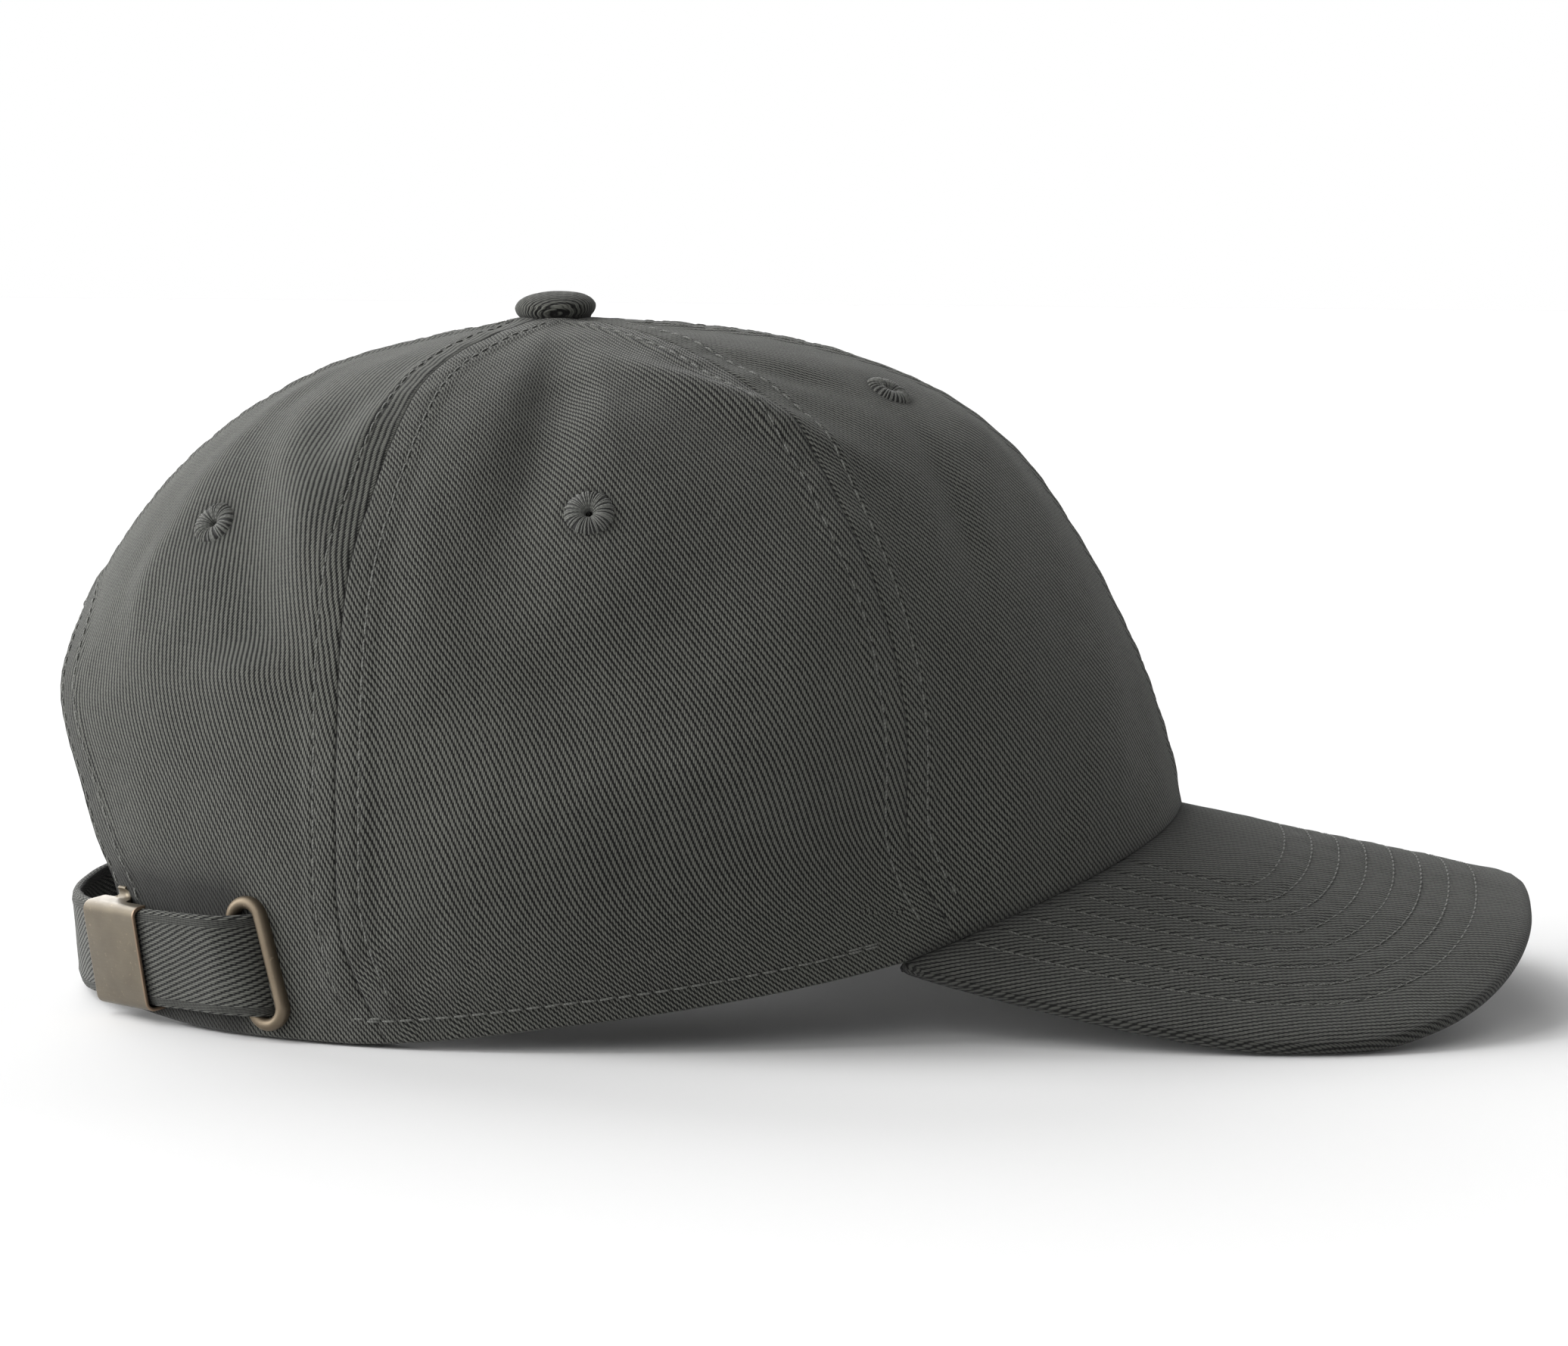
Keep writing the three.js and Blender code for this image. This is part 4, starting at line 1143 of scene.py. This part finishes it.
def strap_places(place, across):
    row = along_table(STRAP_ROUTE, place)
    azimuth, out, height, tilt, lean = np.moveaxis(row, -1, 0)
    degree = math.radians(1) * LEVELS[-1][SIDE]
    shift = across * STRAP_WIDTH * np.tan(np.radians(lean)) / degree
    x, y = outline(LEVELS[-1], azimuth + shift, out)
    return x, y, height, np.radians(tilt)


def strap_grid(place, across, layer):
    step = 0.004
    x, y, height, tilt = strap_places(place, across)
    before, after = (strap_places(np.clip(place + way * step, 0, 1), across) for way in (-1, 1))
    ways = unit(stacked(after[0] - before[0], after[1] - before[1]))
    out_x, out_y = ways[..., 1], -ways[..., 0]
    rise = across * STRAP_WIDTH
    outward = rise * np.sin(tilt) + layer * STRAP_THICKNESS
    points = stacked(x + out_x * outward, y + out_y * outward, height + rise * np.cos(tilt))
    normal = stacked(out_x * np.cos(tilt), out_y * np.cos(tilt), -np.sin(tilt))
    return points, unit(normal)


def add_strap():
    along = np.linspace(0, 1, 150)[:, None]
    half = np.array([0.12, 0.25, 0.36, 0.42, 0.46, 0.485, 0.5])
    across = np.concatenate([-half[::-1], [0], half])
    place, share = np.broadcast_arrays(along, across * 0.965)
    points, normal = strap_grid(place, share, 0.5)
    swell = STRAP_SWELL * (1 - (2 * across * 0.98) ** 6)
    rim = STRAP_RIM * bell(np.abs(across) - STRAP_RIM_AT, STRAP_RIM_WIDE)
    rise = swell + rim - STRAP_SINK + 0.07 * unevenness(points, RIPPLE)
    outer = points + normal * rise[..., None]
    run = lengths(strap_grid(along[:, 0], np.zeros(len(along)), 0.0)[0])
    folded = share + 2.2 * np.sign(share) * np.maximum(np.abs(share) - 0.4, 0)
    cloth = stacked(folded * STRAP_WIDTH, run[:, None])
    # Painted shade along the strap's folded edges
    dark = FOLDED_EDGE_SHADE * bell(np.abs(across) - 0.395, 0.02)
    piece = shell("cloth_strap", outer, -normal, STRAP_THICKNESS - 0.2, cloth, dark, 0.75)
    dress(piece, "strap", "cloth", "strap")


def add_sweatband():
    azimuth = np.linspace(-BAND_END, BAND_END, 220)[:, None]
    up = np.linspace(0, 1, 20)[None]
    turned = np.where(azimuth < 0, azimuth + 360, azimuth)
    room = BAND_ROOM * smooth((np.abs(azimuth) - 96) / 16)
    drop = drop_above_hem(turned, BAND_FOOT + BAND_TALL * up)
    base, normal = crown_base(turned, drop), crown_normal(turned, drop)
    folds = fold_rise(FOLDS, turned, drop) * (drop < HEM_FLAT)
    wave = 0.35 * np.sin(azimuth / 9.0) * up**2
    depth = CLOTH + 0.5 + room + wave - folds
    outer = base - normal * depth[..., None]
    run = lengths(outer[:, 0])
    cloth = stacked(-run[:, None], BAND_TALL * up)
    piece = shell("cloth_sweatband", outer, -normal, BAND_THICKNESS, cloth)
    dress(piece, "crown", "cloth", "sweatband")
    rows = [(outer[:, k] - normal[:, k], -normal[:, k]) for k in (4, 17)]
    stitches = stitch_piece("stitches_sweatband", rows, STITCH)


def matrix_of(x_axis, y_axis, z_axis, place):
    matrix = np.eye(4)
    matrix[:3] = stacked(x_axis, y_axis, z_axis, place)
    return matrix


def rotation(axis, angle):
    return np.array(Matrix.Rotation(math.radians(angle), 4, axis))


def buckle_frame():
    x, y = outline(LEVELS[-1], BUCKLE_AZIMUTH)
    far_x, far_y = outline(LEVELS[-1], BUCKLE_AZIMUTH, 1.0)
    out = np.array([far_x - x, far_y - y])
    base = matrix_of((-out[1], out[0], 0), (0, 0, 1), (out[0], out[1], 0), (x, y, BUCKLE_HEIGHT))
    return base @ rotation("X", BUCKLE_TILT) @ rotation("Z", BUCKLE_TURN)


def on_crown(azimuth, drop):
    """A place on the crown with its folds."""
    return crown_base(azimuth, drop) + crown_normal(azimuth, drop) * fold_rise(FOLDS, azimuth, drop)


def crown_frame(azimuth, drop, turn=0.0):
    """A frame on the crown: X runs forward round it, Y up it and Z out of it."""
    forward = unit(on_crown(azimuth - 2.0, drop) - on_crown(azimuth + 2.0, drop))
    rise = on_crown(azimuth, drop - 0.02) - on_crown(azimuth, drop + 0.02)
    out = unit(np.cross(forward, rise))
    return matrix_of(forward, np.cross(out, forward), out, on_crown(azimuth, drop)) @ rotation("Z", turn)


def placed(points, matrix):
    points = np.asarray(points, float)
    return points @ matrix[:3, :3].T + matrix[:3, 3]


def add_tab():
    turns = np.radians(np.linspace(90, 270, 13))
    radius = BAR_RADIUS + TAB_CLEAR
    back = [(TAB_END - TAB_STEP * k, BAR_OUT + radius - 0.1) for k in range(13)]
    around = [(BAR_X + radius * math.cos(t), BAR_OUT + radius * math.sin(t)) for t in turns]
    forth = [(BAR_X + 1.0 + TAB_STEP * k, BAR_OUT - radius + 0.1) for k in range(13)]
    path = np.array([place for place in back if place[0] > BAR_X + 0.6] + around + forth)
    ways = unit(np.gradient(path, axis=0))
    wide = np.linspace(-TAB_HALF, TAB_HALF, 9)
    outer = stacked(path[:, 0:1], wide, path[:, 1:2])
    normal = stacked(ways[:, 1], np.zeros(len(path)), -ways[:, 0])
    inward = np.broadcast_to(normal[:, None], outer.shape)
    matrix = buckle_frame()
    centre = np.array([BAR_X, 0, BAR_OUT])
    if ((outer[len(path) // 2, 0] - centre) * inward[len(path) // 2, 0]).sum() < 0:
        inward = -inward
    run = lengths(path)
    cloth = stacked(wide, run[:, None])
    turned = inward @ matrix[:3, :3].T
    piece = shell("cloth_buckle_tab", placed(outer, matrix), turned, TAB_THICKNESS, cloth, bulge=0.9)
    dress(piece, "strap", "cloth", "buckle_tab")


add_strap()
add_sweatband()
add_tab()


# Brass


def apply_modifier(piece, kind, **settings):
    modifier = piece.modifiers.new(kind.lower(), kind)
    for key, value in settings.items():
        setattr(modifier, key, value)
    bpy.ops.object.modifier_apply(modifier=modifier.name)


def vertices_of(piece):
    values = np.empty(len(piece.data.vertices) * 3)
    piece.data.vertices.foreach_get("co", values)
    return values.reshape(-1, 3)


def move_vertices(piece, points):
    piece.data.vertices.foreach_set("co", np.asarray(points, float).ravel())
    piece.data.update()


def settle(piece, matrix, material, slot, *nodes):
    """Puts a piece that was shaped in millimetres about the origin where it belongs."""
    bpy.context.view_layer.update()
    bpy.ops.object.transform_apply(location=True, rotation=True, scale=True)
    move_vertices(piece, placed(vertices_of(piece), matrix) * MM)
    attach(piece, "root")
    dress(piece, material, slot, *nodes)


def add_torus(name, middle, reach, segments, sides):
    sizes = {"major_radius": middle, "minor_radius": reach}
    counts = {"major_segments": segments, "minor_segments": sides}
    return primitive(bpy.ops.mesh.primitive_torus_add, name, **sizes, **counts)


def add_slot_ring():
    tube = (SLOT_WIDE - SLOT_OPENING) / 4
    ring = add_torus("brass_slot_ring", SLOT_OPENING / 2 + tube, tube, 56, 18)
    points = vertices_of(ring)
    points[:, 1] += np.sign(np.round(points[:, 1], 4)) * SLOT_STRAIGHT / 2
    points[:, 2] = np.where(points[:, 2] > 0, points[:, 2] * 1.05, points[:, 2] * 1.9)
    move_vertices(ring, points + (0, 0, 0.55))
    apply_modifier(ring, "SUBSURF", levels=1, render_levels=1)
    bpy.ops.object.shade_smooth()
    mark(ring.data, "worn", np.zeros(len(ring.data.vertices)))
    drop = float(drop_above_hem(np.array(SLOT_AZIMUTH), SLOT_HEIGHT))
    settle(ring, crown_frame(SLOT_AZIMUTH, drop, SLOT_LEAN), "ring_brass", "brass", "slot_ring")


SHARP_EDGES = {"segments": 2, "limit_method": "ANGLE", "angle_limit": math.radians(50)}


# The clasp's sheet: its bends, the lips behind its top and bottom, and the ear of the top one that curls over
BEND, TOP_LIP, TOP_LIP_CUT, LOW_LIP, LOW_LIP_ADDED = 1.7, 3.1, 1.9, 1.2, 1.0
EAR_FROM, EAR_TO, CURL_FROM, CURL_RADIUS, CURL_MOST, CURL_FLAT = 0.2, 0.52, 2.6, 0.9, 2.6, 0.9
BEND_RUN, PLATE_RUN = BEND * math.pi / 2, BUCKLE_TALL - 2 * BEND


def clasp_section(run, ear):
    """Height and depth at a length over the clasp's sheet, which is 0 where its lower bend starts."""
    lower = np.clip(run, 0, BEND_RUN) / BEND
    upper = np.clip(run - BEND_RUN - PLATE_RUN, 0, BEND_RUN) / BEND
    back = np.maximum(run - 2 * BEND_RUN - PLATE_RUN, 0)
    curl = np.maximum(back - CURL_FROM, 0) * ear
    turn = np.minimum(curl / CURL_RADIUS, CURL_MOST)
    height = BEND * (1 - np.cos(lower) + np.sin(upper)) + np.clip(run - BEND_RUN, 0, PLATE_RUN)
    height = height + CURL_RADIUS * (1 - np.cos(turn)) - BUCKLE_TALL / 2
    depth = BEND * (np.sin(lower) + np.cos(upper) - 2) + np.minimum(run, 0) - back
    depth = depth + curl - CURL_FLAT * CURL_RADIUS * np.sin(turn)
    return height, depth + BUCKLE_FACE + BUCKLE_SHEET


def add_buckle():
    add = bpy.ops.mesh.primitive_grid_add
    buckle = primitive(add, "brass_buckle", x_subdivisions=40, y_subdivisions=44, size=1)
    points = vertices_of(buckle)
    along, around = points[:, 0] + 0.5, points[:, 1] + 0.5
    ear = smooth((along - EAR_FROM) / 0.08) * smooth((EAR_TO - along) / 0.1)
    top_lip = TOP_LIP - TOP_LIP_CUT * (smooth((along - EAR_TO) / 0.1) - ear)
    low_lip = LOW_LIP + LOW_LIP_ADDED * smooth((along - 0.85) / 0.1)
    stops = np.array([0, 0.16, 0.3, 0.7, 0.84, 1.0])
    over = BEND_RUN + PLATE_RUN
    bends = stacked(-low_lip, 0, BEND_RUN, over, over + BEND_RUN, over + BEND_RUN + top_lip)
    run = np.array([np.interp(t, stops, row) for t, row in zip(around, bends)])
    height, depth = clasp_section(run, ear)
    inset = np.clip((run - BEND_RUN) / PLATE_RUN * 4, 0, 1) * np.clip((over - run) / PLATE_RUN * 4, 0, 1)
    bow = BUCKLE_BOW * (1 - (2 * along - 1) ** 2) * inset
    move_vertices(buckle, stacked((along - 0.5) * BUCKLE_LONG, height, depth + bow))
    edge = np.minimum(along, 1 - along) * BUCKLE_LONG
    mark(buckle.data, "worn", bell(edge, 0.22) * np.where(along > 0.5, 0.7, 0.25))
    apply_modifier(buckle, "SOLIDIFY", thickness=BUCKLE_SHEET, offset=-1, use_even_offset=True)
    apply_modifier(buckle, "BEVEL", width=0.16, **SHARP_EDGES)
    bpy.ops.object.shade_smooth()
    settle(buckle, buckle_frame(), "brass", "brass", "buckle")


def add_buckle_bar():
    sizes = {"vertices": 20, "radius": BAR_RADIUS, "depth": BUCKLE_TALL - 1.2}
    place = {"rotation": (math.pi / 2, 0, 0), "location": (BAR_X, 0, BAR_OUT)}
    bar = primitive(bpy.ops.mesh.primitive_cylinder_add, "brass_buckle_bar", **sizes, **place)
    bpy.ops.object.transform_apply(location=True, rotation=True, scale=True)
    apply_modifier(bar, "BEVEL", width=0.2, **SHARP_EDGES)
    mark(bar.data, "worn", np.zeros(len(bar.data.vertices)))
    settle(bar, buckle_frame(), "brass", "brass", "buckle")


add_slot_ring()
add_buckle()
add_buckle_bar()


# The button and the eyelets


# radius and height above the crown of the button, from its top to its underside
BUTTON_PROFILE = np.array([
    (0, 4.7),
    (2.5, 4.55),
    (4.8, 4.1),
    (6.4, 3.3),
    (7.2, 2.4),
    (7.35, 1.7),
    (7.1, 0.9),
    (6.5, 0.2),
    (5.6, -0.4),
    (0, -0.6),
])


def add_button():
    add = bpy.ops.mesh.primitive_uv_sphere_add
    button = primitive(add, "cloth_button", segments=72, ring_count=48, radius=1)
    points = vertices_of(button)
    flat = np.hypot(points[:, 0], points[:, 1])
    profile = along_table(BUTTON_PROFILE, np.arctan2(flat, points[:, 2]) / math.pi)
    way = points[:, :2] / np.maximum(flat, 1e-6)[:, None]
    radius, height = np.maximum(profile[:, 0], 0), profile[:, 1]
    shaped = np.column_stack([way * radius[:, None], height])
    shaped += shaped * 0.012 * unevenness(shaped, RIPPLE)[:, None]
    move_vertices(button, shaped)
    button.data.uv_layers[0].name = "cloth"
    drape = shaped[:, [1, 0]] * (1 + 0.16 * (radius / BUTTON_RADIUS) ** 2)[:, None]
    drape[:, 0] += np.sign(drape[:, 0]) * np.maximum(1.7 - height, 0) * np.abs(way[:, 1])
    lay_map(button.data, drape)
    # Painted shade on the button's underside, where it meets the crown
    mark(button.data, "painted_shade", 0.8 * smooth((0.6 - height) / 0.8))
    bpy.ops.object.shade_smooth()
    matrix = matrix_of((1, 0, 0), (0, 1, 0), (0, 0, 1), (CROWN_X, 0, CROWN_TOP)) @ rotation("Y", -BUTTON_TILT)
    settle(button, matrix, "button", "cloth", "top_button")


def add_eyelet(kind, left):
    """Radial threads wound over a ring of padding, round a small open hole. The padding is near black:
    painted shade between the threads and in the hole.
    """
    azimuth, drop = EYELETS[kind]
    matrix = crown_frame(mirrored(azimuth, left), drop) @ np.array(Matrix.Translation((0, 0, -EYELET_SINK)))
    name = sided(kind, left)
    middle, reach = (EYELET_RADIUS + EYELET_HOLE) / 2, (EYELET_RADIUS - EYELET_HOLE) / 2
    section = np.radians(np.linspace(188, -8, 11))
    turn = TAU * (np.arange(STRANDS) + rng.normal(0, 0.3, STRANDS)) / STRANDS
    swirl = rng.normal(0, 0.035, STRANDS)
    size = rng.uniform(0.7, 1.2, STRANDS)
    radial = middle + (reach + 0.06) * np.cos(section)
    height = -PAD_SINK + (PAD_RISE + 0.06) * np.sin(section)
    angle = turn[:, None] + swirl[:, None] * np.linspace(-1, 1, len(section))
    thick = (0.075 + 0.125 * (radial - EYELET_HOLE) / (2 * reach)) * size[:, None]
    ring = TAU * np.arange(STRAND_SIDES) / STRAND_SIDES
    swell_out, away = thick[..., None] * np.cos(ring), thick[..., None] * np.sin(ring)
    r = radial[:, None] + swell_out * np.cos(section)[:, None]
    z = height[:, None] + swell_out * np.sin(section)[:, None]
    cosine, sine = np.cos(angle)[..., None], np.sin(angle)[..., None]
    points = stacked(r * cosine - away * sine, r * sine + away * cosine, z)
    maps = np.broadcast_to(stacked(np.linspace(0, 5, len(section))[:, None], ring), points.shape[:3] + (2,))
    points_at = placed(points.reshape(-1, 3), matrix)
    piece = new_piece(f"thread_eyelet_{name}", points_at, tube_faces(points.shape[:3]), maps.reshape(-1, 2))
    dress(piece, "thread", "thread", f"eyelet_{name}")
    pad = add_torus(f"thread_eyelet_pad_{name}", middle, reach, 48, 16)
    move_vertices(pad, vertices_of(pad) * (1, 1, PAD_RISE / reach) - (0, 0, PAD_SINK))
    bpy.ops.object.shade_smooth()
    pad.data.uv_layers[0].name = "cloth"
    settle(pad, matrix, "padding", "thread", f"eyelet_{name}")


add_button()
for eyelet_kind in EYELETS:
    for on_left in (False, True):
        add_eyelet(eyelet_kind, on_left)
